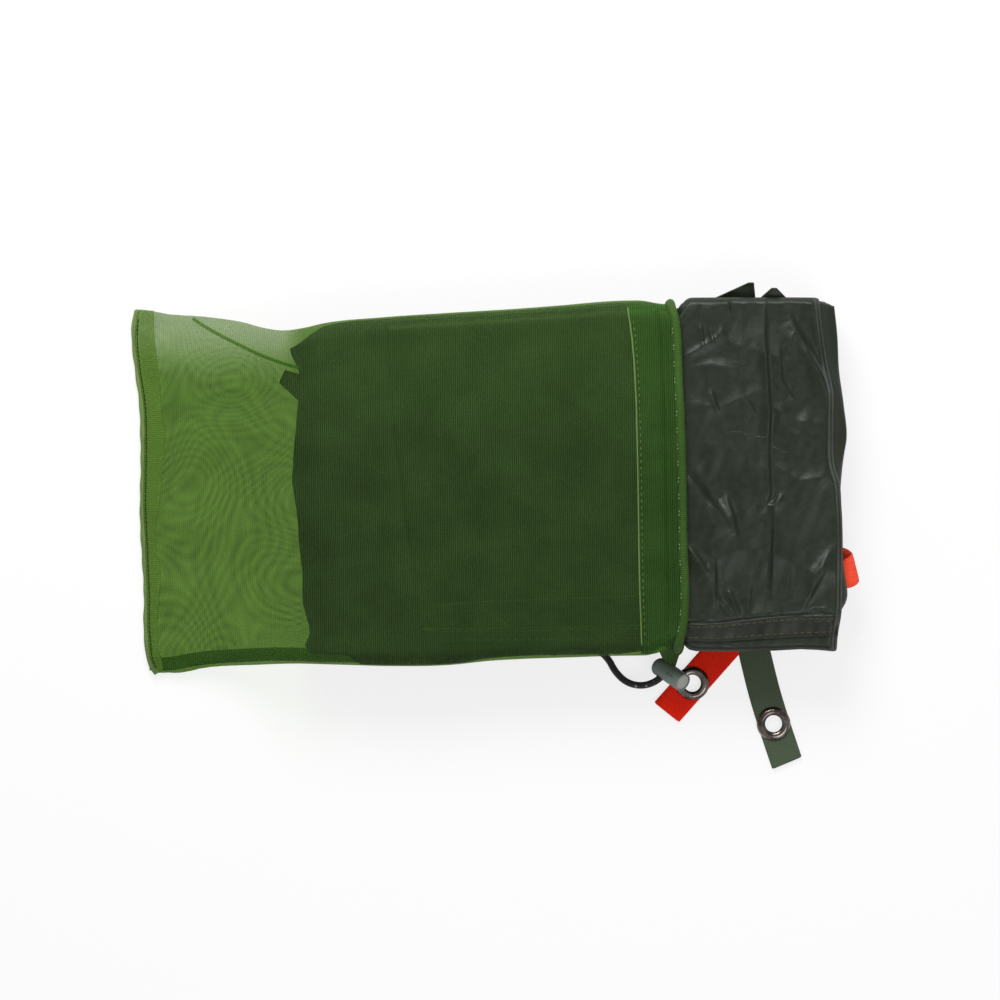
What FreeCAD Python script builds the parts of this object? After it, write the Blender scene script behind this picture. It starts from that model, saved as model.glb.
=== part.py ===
import FreeCAD, Part
import math
import os

from FreeCAD import Placement, Rotation, Vector

# A folded tarp shelter lying half out of its see-through mesh sack.
# Millimetres. +X points out of the sack's mouth, +Z up, the sack lies on z = 0.
# The origin is under the middle of the whole thing's box, on the surface it lies on.

# ---- cloth, webbing and clearances ----
MESH_THICK = 0.6
FACING_THICK = 0.5
SEAM_THICK = 0.8
LAYER_GAP = 0.1
RUN_GAP = 0.3

# ---- sack: x at the seam side, x at the fold side, y of each side, height ----
SACK_STATIONS = [
    (-171.0, -182.0, -75.6, 108.0, 2.6),
    (-150.0, -154.0, -72.2, 105.2, 10.0),
    (-125.0, -126.0, -70.4, 101.3, 22.0),
    (-103.0, -103.0, -69.4, 96.9, 36.5),
    (-82.0, -82.0, -69.8, 100.3, 39.6),
    (-42.0, -42.0, -70.3, 103.8, 40.4),
    (38.0, 38.0, -66.3, 109.3, 40.8),
    (85.0, 85.0, -65.2, 111.8, 41.4),
]
SACK_LOW_ROUND = 19.0
SACK_TOP_ROUND = 9.0
SEAM_ALLOWANCE = 4.5
END_ALLOWANCE = 9.0
FACING_START_X = 66.5
SIDE_SEAM_END_X = 64.0

# ---- drawcord and the channel it runs in ----
CORD_D = 3.5
CHANNEL_BORE_D = 4.1
CHANNEL_D = 4.9
CHANNEL_X = 94.5
MOUTH_Y_LOW = -64.25
MOUTH_Y_HIGH = 112.5
MOUTH_HEIGHT = 43.3
CORD_ANCHOR_Z = 27.0

# The free end leaves the channel and turns once round this tilted circle.
LOOP_CENTRE = Vector(73.8, -65.6, 4.96)
LOOP_RADIUS = 15.2
LOOP_TILT = 15.8
LOOP_HIGH_SIDE = 340.0
LOOP_STEP = 30.0
LOOP_EXIT = 347.0
LOOP_TURNS = 5
# Shares of the loop's first run: the spout's last bend, where the two cord solids meet, its end.
SPOUT_BEND = 1.35
CORD_SPLIT = 0.8
SPOUT_END = 0.6
SPOUT_START = 16.0
SPOUT_START_RADIUS = 20.0
SPOUT_RISE_Y = 2.6
SPOUT_RISE_Z = 3.6
CORD_TAIL_POINTS = [
    Vector(57.2, -66.9, 1.75),
    Vector(50.6, -61.9, 1.75),
    Vector(42.6, -61.3, 1.75),
    Vector(34.2, -62.0, 1.75),
]
KNOT_LENGTH = 8.0
KNOT_D = 5.4
KNOT_STUB = 3.0

# ---- cord lock ----
LOCK_D = 9.3
LOCK_LENGTH = 20.5
LOCK_END_ROUND = 3.0
LOCK_FLOOR = 1.2
LOCK_SPRING_SEAT = 0.8
LOCK_BORE_D = 8.1
LOCK_HOLE_D = 5.4
LOCK_HOLE_UP = 7.0
LOCK_ANGLE = 328.0
LOCK_LEAN = 23.6
LOCK_SLOT_WIDTH = 1.0
LOCK_SLOT_START = 12.2
LOCK_SLOT_LENGTH = 5.4
BUTTON_TRAVEL = 2.0
PLUNGER_FOOT = 0.75
PLUNGER_GAP = 0.15
PLUNGER_RECESS = 0.1
PLUNGER_ROUND = 0.5
LUG_LENGTH = 1.2
SPRING_WIRE_D = 0.4
SPRING_D = 6.4
SPRING_HALF_TURNS = 5

# ---- folded tarp ----
PLY_COUNT = 7
PLY_GAP = 0.4
TAB_PLY_GAP = 2.0
TAB_PLY = 2
BUNDLE_LEFT_X = [-97.5, -95.5, -95.5, -98.5, -98.5, -96.0, -96.0]
BUNDLE_RIGHT_X = [169.9, 169.9, 162.8, 162.8, 164.0, 164.0, 160.0]
BUNDLE_Y_LOW = -59.0
BUNDLE_Y_HIGH_LEFT = 89.5
BUNDLE_Y_HIGH_MIDDLE = 104.5
FREE_Y_LOW = -63.6
FREE_Y_HIGH = 112.8
FREE_Z_LOW = 0.4
FREE_LOW_ROUND = 16.0
FREE_TOP_ROUND = 6.0
DROP_START_X = 98.0
DROP_END_X = 112.0
TOP_PLY_THICK = 3.0
TOP_PLY_GAP = 0.3
TOP_PLY_OUTLINE = [(-52.0, 113.0), (160.8, 113.0), (171.5, 9.0), (170.5, -64.0), (-33.0, -64.0)]
HEM_THICK = 0.6
HEM_WIDTH = 7.2
HEM_START = (-30.0, -49.0)
HEM_END = (168.0, -47.0)
CORNER_PLY_THICK = 1.6
CORNER_PLIES = [
    (4, [(107.0, 105.0), (107.8, 112.9), (127.3, 121.5), (129.6, 121.5), (130.8, 105.0)]),
    (5, [(127.0, 105.0), (130.4, 114.4), (140.3, 118.6), (146.2, 112.9), (148.0, 105.0)]),
]

# ---- webbing tabs, their eyelets, and the loop ----
WEB_WIDTH = 15.3
WEB_THICK = 1.3
WEB_Z = 0.9
TAB_ROOT_Y = -55.7
RED_TAB_EYELET = (99.6, -79.8)
RED_TAB_ANGLE = 228.5
RED_TAB_BEYOND = 19.0
OLIVE_TAB_LINE = [(128.8, -55.7), (134.9, -81.0), (139.6, -98.0), (146.3, -119.2)]
OLIVE_TAB_EYELET = (140.4, -100.1)
TAB_TO_TAB_GAP = 0.4
EYELET_D = 17.0
EYELET_BORE_D = 8.6
EYELET_WALL = 0.7
EYELET_DOME = 1.8
EYELET_LIP = 0.25
WASHER_D = 16.4
WASHER_THICK = 0.6
WEB_HOLE_GAP = 0.15
RED_LOOP_ROOT_X = 167.9
RED_LOOP_Z = 22.5
RED_LOOP_RADIUS = 3.7
RED_LOOP_OUT = 14.1
RED_LOOP_Y = -21.8
INNER_TAB_CORNER = (-107.0, 71.3)
INNER_TAB_ANGLE = -44.0
INNER_TAB_LENGTH = 46.0

# ---- worked out from the sizes above ----
RING_R = CHANNEL_D / 2
RING_Y_LOW = MOUTH_Y_LOW + RING_R
RING_Y_HIGH = MOUTH_Y_HIGH - RING_R
RING_Z_LOW = RING_R
RING_Z_HIGH = MOUTH_HEIGHT - RING_R
INSET = RING_R + RUN_GAP
BUNDLE_Z_LOW = RING_Z_LOW + INSET
BUNDLE_Z_HIGH = RING_Z_HIGH - INSET
TOP_PLY_TOP = BUNDLE_Z_HIGH - HEM_THICK
STACK_TOP = TOP_PLY_TOP - TOP_PLY_THICK - TOP_PLY_GAP
PLY_THICK = (STACK_TOP - BUNDLE_Z_LOW - (PLY_COUNT - 2) * PLY_GAP - TAB_PLY_GAP) / PLY_COUNT
WEB_TOP = WEB_Z + WEB_THICK
MESH_END_X = CHANNEL_X - RING_R - LAYER_GAP


def save(shape, name):
    shape.exportStep(os.path.join("parts", name + ".step"))
    print(f"{name}: {len(shape.Solids)} solid, {shape.Volume / 1000:.2f} cm3, valid {shape.isValid()}")


def along(start, end, share):
    """The value a share of the way from start to end."""
    return start + (end - start) * share


# ---------------------------------------------------------------- sections and lofts

def section(station, z_low, inset, low_round, top_round):
    """A closed upright section with rounded corners, standing on the line between its two sides."""
    x_low, x_high, y_low, y_high, z_high = station
    foot = Vector(x_low, y_low, 0)
    across = Vector(x_high, y_high, 0) - foot
    width = across.Length
    across.normalize()
    left, right = inset, width - inset
    bottom, top = z_low + inset, z_high - inset
    half = (top - bottom) / 2
    low = min(low_round - inset, half - 0.05)
    high = min(top_round - inset, half - 0.05)

    def at(u, z):
        return foot + across * u + Vector(0, 0, z)

    def corner(u, z, radius, start):
        turn = [math.radians(start + step) for step in (0, 45, 90)]
        return Part.Arc(*[at(u + radius * math.cos(t), z + radius * math.sin(t)) for t in turn]).toShape()

    def line(u0, z0, u1, z1):
        return Part.LineSegment(at(u0, z0), at(u1, z1)).toShape()

    return Part.Wire([
        line(left + low, bottom, right - low, bottom),
        corner(right - low, bottom + low, low, 270),
        line(right, bottom + low, right, top - high),
        corner(right - high, top - high, high, 0),
        line(right - high, top, left + high, top),
        corner(left + high, top - high, high, 90),
        line(left, top - high, left, bottom + low),
        corner(left + low, bottom + low, low, 180),
    ])


def mesh_station(x):
    """The sack's station at x, between the ones that are given and the mouth."""
    for before, after in zip(SACK_STATIONS, SACK_STATIONS[1:]):
        if before[0] <= x <= after[0]:
            share = (x - before[0]) / (after[0] - before[0])
            return tuple(along(a, b, share) for a, b in zip(before, after))
    return SACK_STATIONS[-1]


def mouth_section(x, inset):
    """The mouth's section, on the line down the middle of the cord channel."""
    station = (x, x, RING_Y_LOW, RING_Y_HIGH, RING_Z_HIGH)
    return section(station, RING_Z_LOW, inset, SACK_LOW_ROUND, SACK_TOP_ROUND)


def sack_section(station, inset):
    return section(station, 0, inset, SACK_LOW_ROUND, SACK_TOP_ROUND)


def pushed(station, dx):
    return (station[0] + dx, station[1] + dx) + tuple(station[2:])


def sack_mesh():
    half = MESH_THICK / 2
    outer = [sack_section(s, 0) for s in SACK_STATIONS] + [mouth_section(MESH_END_X, -half)]
    inner_stations = [pushed(SACK_STATIONS[0], MESH_THICK)] + SACK_STATIONS[1:]
    inner = [sack_section(s, MESH_THICK) for s in inner_stations]
    inner += [mouth_section(MESH_END_X, half), mouth_section(MESH_END_X + 2 * RING_R, half)]
    return Part.makeLoft(outer, True, True).cut(Part.makeLoft(inner, True, True))


def mouth_facing():
    """The turned-in hem inside the mouth, a second layer of mesh."""
    out = MESH_THICK + LAYER_GAP
    stations = [mesh_station(FACING_START_X), SACK_STATIONS[-1]]
    end_x = MESH_END_X - LAYER_GAP
    mid = MESH_THICK / 2 + LAYER_GAP
    outer = [sack_section(s, out) for s in stations] + [mouth_section(end_x, mid)]
    back = [pushed(stations[0], -1.0), stations[0], SACK_STATIONS[-1]]
    inner = [sack_section(s, out + FACING_THICK) for s in back]
    inner += [mouth_section(end_x, mid + FACING_THICK), mouth_section(end_x + 1.0, mid + FACING_THICK)]
    return Part.makeLoft(outer, True, True).cut(Part.makeLoft(inner, True, True))


def end_seam():
    """The seam allowance turned in along the closed end."""
    first = SACK_STATIONS[0]
    start = MESH_THICK + 4 * LAYER_GAP
    foot = Vector(first[0] + start, first[2], MESH_THICK + LAYER_GAP / 2)
    across = Vector(first[1] + start, first[3], foot.z) - foot
    near = foot + across * 0.06
    far = foot + across * 0.97
    side = Vector(END_ALLOWANCE, 0, 0)
    face = Part.Face(Part.makePolygon([near, far, far + side, near + side, near]))
    return face.extrude(Vector(0, 0, SEAM_THICK))


def side_seam():
    """The seam allowance turned in along the open long side, from the closed end to the facing."""
    inward = MESH_THICK + LAYER_GAP
    first, last = mesh_station(SACK_STATIONS[0][0] + 6.0), mesh_station(SIDE_SEAM_END_X)
    stations = [first] + SACK_STATIONS[1:-1] + [last]
    wires = []
    for station in stations:
        x, y, z = station[0], station[2] + inward, station[4] / 2 - SEAM_THICK / 2
        ends = [(y, z), (y + SEAM_ALLOWANCE, z), (y + SEAM_ALLOWANCE, z + SEAM_THICK), (y, z + SEAM_THICK)]
        wires.append(Part.makePolygon([Vector(x, *p) for p in ends + ends[:1]]))
    return Part.makeLoft(wires, True, True)


# ---------------------------------------------------------------- cords

def rounded_route(points, radii=None):
    """Straight runs joined by tangent arcs. Returns the wire and the arcs' radii."""
    radii = radii or {}
    edges, used, at = [], [], points[0]
    for i in range(1, len(points) - 1):
        before, corner, after = points[i - 1], points[i], points[i + 1]
        back, on = before - corner, after - corner
        run = min(back.Length, on.Length)
        half_turn = (math.pi - back.getAngle(on)) / 2
        radius = radii.get(i, 0.45 * run / math.tan(half_turn))
        reach = radius * math.tan(half_turn)
        back.normalize()
        on.normalize()
        start, end = corner + back * reach, corner + on * reach
        middle = (back + on).normalize() * (radius / math.cos(half_turn) - radius)
        edges.append(Part.LineSegment(at, start).toShape())
        edges.append(Part.Arc(start, corner + middle, end).toShape())
        used.append(radius)
        at = end
    edges.append(Part.LineSegment(at, points[-1]).toShape())
    return Part.Wire(edges), used


def tube(wire, diameter):
    """A round bar swept along a wire."""
    edge = wire.Edges[0]
    start = edge.valueAt(edge.FirstParameter)
    circle = Part.Wire(Part.makeCircle(diameter / 2, start, edge.tangentAt(edge.FirstParameter)))
    return wire.makePipeShell([circle], True, False)


def loop_axes():
    """The loop's rising direction, its level direction, and its normal."""
    high, tilt = math.radians(LOOP_HIGH_SIDE), math.radians(LOOP_TILT)
    rising = Vector(math.cos(high) * math.cos(tilt), math.sin(high) * math.cos(tilt), math.sin(tilt))
    level = Vector(-math.sin(high), math.cos(high), 0)
    return rising, level, rising.cross(level)


def loop_point(angle, radius):
    rising, level, _ = loop_axes()
    turn = math.radians(angle - LOOP_HIGH_SIDE)
    return LOOP_CENTRE + rising * (radius * math.cos(turn)) + level * (radius * math.sin(turn))


def loop_corners():
    """Corners of the route round the loop, from inside the channel to the far side."""
    out = LOOP_RADIUS / math.cos(math.radians(LOOP_STEP / 2))
    first = LOOP_EXIT + LOOP_STEP / 2
    return [loop_point(first - LOOP_STEP * i, out) for i in range(LOOP_TURNS + 1)]


def before_loop(share):
    """A point on the loop's first run, by its share of the run back from the first full corner."""
    corners = loop_corners()
    return corners[1] + (corners[0] - corners[1]) * share


def spout_corners():
    """From the channel's low side out to the free end's own line."""
    return [
        Vector(CHANNEL_X, RING_Y_LOW + SPOUT_START, RING_Z_LOW),
        Vector(CHANNEL_X - 0.4, RING_Y_LOW + SPOUT_RISE_Y, RING_Z_LOW + SPOUT_RISE_Z),
        before_loop(SPOUT_BEND),
    ]


def spout_radii():
    _, used = rounded_route(spout_corners() + [before_loop(CORD_SPLIT)])
    return dict(enumerate(used, 1))


def mouth_ring(diameter):
    """A closed round bar along the line down the middle of the channel, edge by edge."""
    lengths = [tube(Part.Wire([edge]), diameter) for edge in mouth_section(CHANNEL_X, 0).Edges]
    return lengths[0].multiFuse(lengths[1:]).removeSplitter()


def channel():
    """The rolled tube round the mouth, with the short spout that the cord comes out of."""
    spout, _ = rounded_route(spout_corners() + [before_loop(SPOUT_END)], spout_radii())
    through, _ = rounded_route(spout_corners() + [before_loop(SPOUT_END - 0.2)], spout_radii())
    bore = mouth_ring(CHANNEL_BORE_D).fuse(tube(through, CHANNEL_BORE_D))
    return mouth_ring(CHANNEL_D).fuse(tube(spout, CHANNEL_D)).cut(bore)


def channel_cord():
    """The cord from its sewn end, once round the mouth, to the end of the spout."""
    x = CHANNEL_X
    corners = [
        Vector(x, RING_Y_LOW, CORD_ANCHOR_Z),
        Vector(x, RING_Y_LOW, RING_Z_HIGH),
        Vector(x, RING_Y_HIGH, RING_Z_HIGH),
        Vector(x, RING_Y_HIGH, RING_Z_LOW),
    ]
    radii = {1: SACK_TOP_ROUND, 2: SACK_TOP_ROUND, 3: SACK_LOW_ROUND, 4: SPOUT_START_RADIUS}
    wire, used = rounded_route(corners + spout_corners() + [before_loop(CORD_SPLIT)], radii)
    return tube(wire, CORD_D), wire.Length, used


def tail_route():
    return [before_loop(CORD_SPLIT)] + loop_corners()[1:] + CORD_TAIL_POINTS


def tail_cord():
    wire, used = rounded_route(tail_route())
    return tube(wire, CORD_D), wire.Length, used


def knot():
    """An overhand knot as one lump, flat where it lies, with the cut end beyond it."""
    end, before = CORD_TAIL_POINTS[-1], CORD_TAIL_POINTS[-2]
    radius = CORD_D / 2
    bulge = Part.Arc(
        Vector(radius, 0, 0), Vector(KNOT_D / 2, 0, KNOT_LENGTH / 2), Vector(radius, 0, KNOT_LENGTH)
    ).toShape()
    stub_end = KNOT_LENGTH + KNOT_STUB
    rest = Part.makePolygon([
        Vector(radius, 0, KNOT_LENGTH),
        Vector(radius, 0, stub_end),
        Vector(0, 0, stub_end),
        Vector(0, 0, 0),
        Vector(radius, 0, 0),
    ])
    lump = Part.Face(Part.Wire([bulge] + rest.Edges)).revolve(Vector(), Vector(0, 0, 1), 360)
    lump.Placement = Placement(end, Rotation(Vector(0, 0, 1), end - before))
    under = Part.makeBox(60, 60, 10, Vector(end.x - 30, end.y - 30, -10))
    return lump.cut(under)


# ---------------------------------------------------------------- cord lock

def lock_axis():
    rising, level, normal = loop_axes()
    turn = math.radians(LOCK_ANGLE - LOOP_HIGH_SIDE)
    radial = rising * math.cos(turn) + level * math.sin(turn)
    lean = math.radians(LOCK_LEAN)
    return radial * math.cos(lean) + normal * math.sin(lean)


def cord_way():
    """The cord's direction through the lock, towards the channel."""
    rising, level, _ = loop_axes()
    turn = math.radians(LOCK_ANGLE - LOOP_HIGH_SIDE)
    return level * math.cos(turn) - rising * math.sin(turn)


def sagitta():
    """How far the cord bows off a straight line over the lock's width."""
    return LOOP_RADIUS - math.sqrt(LOOP_RADIUS**2 - (LOCK_D / 2) ** 2)


def placed_on_cord(shape):
    """Moves a lock piece, made upright at the origin with its hole along X, onto the cord."""
    up, way = lock_axis(), cord_way()
    side = up.cross(way)
    matrix = FreeCAD.Matrix(
        way.x, side.x, up.x, 0, way.y, side.y, up.y, 0, way.z, side.z, up.z, 0, 0, 0, 0, 1
    )
    hole = loop_point(LOCK_ANGLE, LOOP_RADIUS - sagitta() / 2)
    moved = shape.copy()
    moved.Placement = Placement(hole - up * LOCK_HOLE_UP, Rotation(matrix))
    return moved


def lock_barrel():
    body = Part.makeCylinder(LOCK_D / 2, LOCK_LENGTH)
    floor_edge = [e for e in body.Edges if e.BoundBox.ZMax < 0.1 and e.Closed]
    body = body.makeFillet(LOCK_END_ROUND, floor_edge)
    body = body.cut(Part.makeCylinder(LOCK_BORE_D / 2, LOCK_LENGTH, Vector(0, 0, LOCK_FLOOR + LOCK_SPRING_SEAT)))
    body = body.cut(Part.makeCylinder(SPRING_D / 2 + RUN_GAP, LOCK_LENGTH, Vector(0, 0, LOCK_FLOOR)))
    start = Vector(-LOCK_D / 2 - 1, 0, LOCK_HOLE_UP)
    hole = Part.makeCylinder(LOCK_HOLE_D / 2, LOCK_D + 2, start, Vector(1, 0, 0))
    slot = Part.makeBox(LOCK_SLOT_WIDTH, LOCK_D, LOCK_SLOT_LENGTH)
    slot.translate(Vector(-LOCK_SLOT_WIDTH / 2, 0, LOCK_SLOT_START))
    return body.cut(hole).cut(slot)


def plunger_window_low():
    return LOCK_HOLE_UP - CORD_D / 2 - RUN_GAP


def lock_plunger():
    """The button: a round plug with a window for the cord, long enough to let it travel."""
    foot = plunger_window_low() - PLUNGER_FOOT
    top = LOCK_LENGTH - PLUNGER_RECESS
    radius = LOCK_BORE_D / 2 - PLUNGER_GAP
    body = Part.makeCylinder(radius, top - foot, Vector(0, 0, foot))
    rim = [e for e in body.Edges if e.BoundBox.ZMin > top - 0.1 and e.Closed]
    body = body.makeFillet(PLUNGER_ROUND, rim)
    tall = CORD_D + 2 * RUN_GAP + BUTTON_TRAVEL + sagitta()
    wide = LOCK_HOLE_D
    window = Part.makeBox(LOCK_D, wide, tall)
    window.translate(Vector(-LOCK_D / 2, -wide / 2, plunger_window_low()))
    lug_width = LOCK_SLOT_WIDTH - 2 * PLUNGER_GAP
    reach = LOCK_D / 2 - RUN_GAP
    lug = Part.makeBox(lug_width, reach, LUG_LENGTH)
    lug_z = LOCK_SLOT_START + LOCK_SLOT_LENGTH - PLUNGER_GAP - LUG_LENGTH
    lug.translate(Vector(-lug_width / 2, 0, lug_z))
    return body.cut(window).fuse(lug).removeSplitter()


def lock_spring():
    """A short coil between the barrel's floor and the plunger's foot, made of half turns."""
    low = LOCK_FLOOR + SPRING_WIRE_D / 2 + 0.05
    high = plunger_window_low() - PLUNGER_FOOT - SPRING_WIRE_D / 2 - 0.05
    radius = (SPRING_D - SPRING_WIRE_D) / 2
    rise = (high - low) / SPRING_HALF_TURNS
    coil = []
    for i in range(SPRING_HALF_TURNS):
        side = -1 if i % 2 else 1
        start, middle = Vector(side * radius, 0, low + rise * i), Vector(0, 0, low + rise * (i + 0.5))
        way = Vector(0, side, 0)
        ring = Part.Face(Part.Wire(Part.makeCircle(SPRING_WIRE_D / 2, start, way)))
        coil.append(ring.revolve(middle, (start - middle).cross(way).normalize(), 180))
    return coil[0].multiFuse(coil[1:]).removeSplitter()


# ---------------------------------------------------------------- folded tarp

def bundle_section(x, y_low, y_high, z_low, low_round, top_round):
    return section((x, x, y_low, y_high, BUNDLE_Z_HIGH), z_low, 0, low_round, top_round)


def bundle_envelope():
    """The bundle's outer shape: held narrow by the mouth, and spread out beyond it."""
    held_low, held_top = SACK_LOW_ROUND - INSET, SACK_TOP_ROUND - INSET
    y_low, y_high = RING_Y_LOW + INSET, RING_Y_HIGH - INSET
    free = (FREE_Y_LOW, FREE_Y_HIGH, FREE_Z_LOW, FREE_LOW_ROUND, FREE_TOP_ROUND)
    wires = [
        bundle_section(-115.0, y_low, BUNDLE_Y_HIGH_LEFT, BUNDLE_Z_LOW, held_low, held_top),
        bundle_section(-10.0, y_low, BUNDLE_Y_HIGH_MIDDLE, BUNDLE_Z_LOW, held_low, held_top),
        bundle_section(CHANNEL_X + INSET, y_low, y_high, BUNDLE_Z_LOW, held_low, held_top),
        bundle_section(DROP_END_X, *free),
        bundle_section(190.0, *free),
    ]
    return Part.makeLoft(wires, True, True)


def ply_heights():
    """The middle height of each ply, from the bottom up."""
    heights = [BUNDLE_Z_LOW + PLY_THICK / 2]
    for ply in range(PLY_COUNT - 1):
        gap = TAB_PLY_GAP if ply == TAB_PLY else PLY_GAP
        heights.append(heights[-1] + PLY_THICK + gap)
    return heights


def stack_centreline():
    """The zigzag of the folded strip in the XZ plane, from its bottom left end to its top right end."""
    heights = ply_heights()
    drop_z = FREE_Z_LOW + PLY_THICK / 2
    edges = []
    at = Vector(BUNDLE_LEFT_X[0], 0, heights[0])
    for corner in (Vector(DROP_START_X, 0, heights[0]), Vector(DROP_END_X, 0, drop_z),
                   Vector(BUNDLE_RIGHT_X[0], 0, drop_z)):
        edges.append(Part.LineSegment(at, corner).toShape())
        at = corner
    for ply in range(1, PLY_COUNT):
        start = at
        end = Vector(start.x, 0, heights[ply])
        radius = (end.z - start.z) / 2
        outward = radius if ply % 2 else -radius
        edges.append(Part.Arc(start, Vector(start.x + outward, 0, start.z + radius), end).toShape())
        ends = BUNDLE_LEFT_X if ply % 2 else BUNDLE_RIGHT_X
        at = Vector(ends[ply], 0, heights[ply])
        edges.append(Part.LineSegment(end, at).toShape())
    return Part.Wire(edges)


def folded_stack():
    """The strip folded to and fro, trimmed to the bundle's outer shape."""
    y_low = FREE_Y_LOW - 5.0
    length = FREE_Y_HIGH + 5.0 - y_low
    band = stack_centreline().makeOffset2D(PLY_THICK / 2, 0, True, False, False)
    strip = band.extrude(Vector(0, length, 0))
    strip.translate(Vector(0, y_low, 0))
    stack = strip.common(bundle_envelope())
    for ply, outline in CORNER_PLIES:
        z = ply_heights()[ply] - CORNER_PLY_THICK / 2
        points = [Vector(x, y, z) for x, y in outline]
        flap = Part.Face(Part.makePolygon(points + points[:1])).extrude(Vector(0, 0, CORNER_PLY_THICK))
        stack = stack.fuse(flap)
    return stack.removeSplitter()


def top_ply():
    """The last fold, which lies on the stack and carries the hem."""
    points = [Vector(x, y, TOP_PLY_TOP - TOP_PLY_THICK) for x, y in TOP_PLY_OUTLINE]
    plate = Part.Face(Part.makePolygon(points + points[:1])).extrude(Vector(0, 0, TOP_PLY_THICK))
    return plate.common(bundle_envelope())


def edge_hem():
    """The folded and twice-stitched hem along the tarp's edge."""
    (x0, y0), (x1, y1) = HEM_START, HEM_END
    half = Vector(y0 - y1, x1 - x0, 0).normalize() * (HEM_WIDTH / 2)
    start, end = Vector(x0, y0, TOP_PLY_TOP), Vector(x1, y1, TOP_PLY_TOP)
    face = Part.Face(Part.makePolygon([start - half, end - half, end + half, start + half, start - half]))
    return face.extrude(Vector(0, 0, HEM_THICK))


# ---------------------------------------------------------------- webbing and eyelets

def band_outline(line, width, z):
    """The outline of a flat band of even width along a bent line."""
    left, right = [], []
    for i, (x, y) in enumerate(line):
        ways = []
        if i:
            ways.append(Vector(x - line[i - 1][0], y - line[i - 1][1], 0).normalize())
        if i < len(line) - 1:
            ways.append(Vector(line[i + 1][0] - x, line[i + 1][1] - y, 0).normalize())
        way = ways[0] + ways[-1]
        way.normalize()
        side = Vector(-way.y, way.x, 0) * (width / 2 / way.dot(ways[0]))
        left.append(Vector(x, y, z) + side)
        right.append(Vector(x, y, z) - side)
    points = left + right[::-1]
    return Part.Face(Part.makePolygon(points + points[:1]))


def root_trim():
    """Everything further in under the tarp than the line the tabs are sewn on."""
    trim = Part.makeBox(120, 60, 20)
    trim.translate(Vector(60, TAB_ROOT_Y, -10))
    return trim


def web_hole(centre):
    radius = EYELET_BORE_D / 2 + EYELET_WALL + WEB_HOLE_GAP
    return Part.makeCylinder(radius, WEB_THICK + 2, Vector(centre[0], centre[1], WEB_Z - 1))


def olive_band(width):
    (x, y), (next_x, next_y) = OLIVE_TAB_LINE[:2]
    way = Vector(next_x - x, next_y - y, 0).normalize()
    line = [(x - way.x * 6, y - way.y * 6)] + OLIVE_TAB_LINE
    return band_outline(line, width, WEB_Z).extrude(Vector(0, 0, WEB_THICK)).cut(root_trim())


def olive_web():
    return olive_band(WEB_WIDTH).cut(web_hole(OLIVE_TAB_EYELET))


def red_web():
    turn = math.radians(RED_TAB_ANGLE)
    way = (math.cos(turn), math.sin(turn))
    x, y = RED_TAB_EYELET
    line = [(x - way[0] * 50, y - way[1] * 50), (x + way[0] * RED_TAB_BEYOND, y + way[1] * RED_TAB_BEYOND)]
    band = band_outline(line, WEB_WIDTH, WEB_Z).extrude(Vector(0, 0, WEB_THICK))
    beside = olive_band(WEB_WIDTH + 2 * TAB_TO_TAB_GAP)
    pieces = band.cut(root_trim()).cut(beside).cut(web_hole(RED_TAB_EYELET)).Solids
    return max(pieces, key=lambda piece: piece.Volume)


def eyelet(centre):
    """Domed flange and barrel in one, turned over under the washer."""
    bore, barrel = EYELET_BORE_D / 2, EYELET_BORE_D / 2 + EYELET_WALL
    rim = EYELET_D / 2
    under = WEB_Z - WASHER_THICK
    dome = Part.Arc(
        Vector(rim, 0, WEB_TOP),
        Vector(along(bore, rim, 0.55), 0, WEB_TOP + EYELET_DOME),
        Vector(bore, 0, WEB_TOP + EYELET_DOME * 0.55),
    ).toShape()
    corners = [
        Vector(bore, 0, WEB_TOP + EYELET_DOME * 0.55),
        Vector(bore, 0, under - EYELET_LIP),
        Vector(barrel + 0.8, 0, under - EYELET_LIP),
        Vector(barrel + 0.8, 0, under),
        Vector(barrel, 0, under),
        Vector(barrel, 0, WEB_TOP),
        Vector(rim, 0, WEB_TOP),
    ]
    wire = Part.Wire([dome] + Part.makePolygon(corners).Edges)
    ring = Part.Face(wire).revolve(Vector(), Vector(0, 0, 1), 360)
    ring.translate(Vector(centre[0], centre[1], 0))
    return ring


def washer(centre):
    under = WEB_Z - WASHER_THICK
    inner = EYELET_BORE_D / 2 + EYELET_WALL + WEB_HOLE_GAP
    place = Vector(centre[0], centre[1], under)
    disc = Part.makeCylinder(WASHER_D / 2, WASHER_THICK, place)
    return disc.cut(Part.makeCylinder(inner, WASHER_THICK, place))


def red_loop():
    """A strip doubled into a drop-shaped loop, its two ends sewn in between the plies."""
    x, z = RED_LOOP_ROOT_X, RED_LOOP_Z
    spread = WEB_THICK / 2 + LAYER_GAP
    centre_x = x + RED_LOOP_OUT - RED_LOOP_RADIUS - WEB_THICK / 2
    top = Vector(centre_x, 0, z + RED_LOOP_RADIUS)
    tip = Vector(centre_x + RED_LOOP_RADIUS, 0, z)
    low = Vector(centre_x, 0, z - RED_LOOP_RADIUS)
    line = Part.Wire([
        Part.LineSegment(Vector(x, 0, z + spread), top).toShape(),
        Part.Arc(top, tip, low).toShape(),
        Part.LineSegment(low, Vector(x, 0, z - spread)).toShape(),
    ])
    band = line.makeOffset2D(WEB_THICK / 2, 0, True, False, False)
    loop = band.extrude(Vector(0, WEB_WIDTH, 0))
    loop.translate(Vector(0, RED_LOOP_Y - WEB_WIDTH / 2, 0))
    return loop


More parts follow.
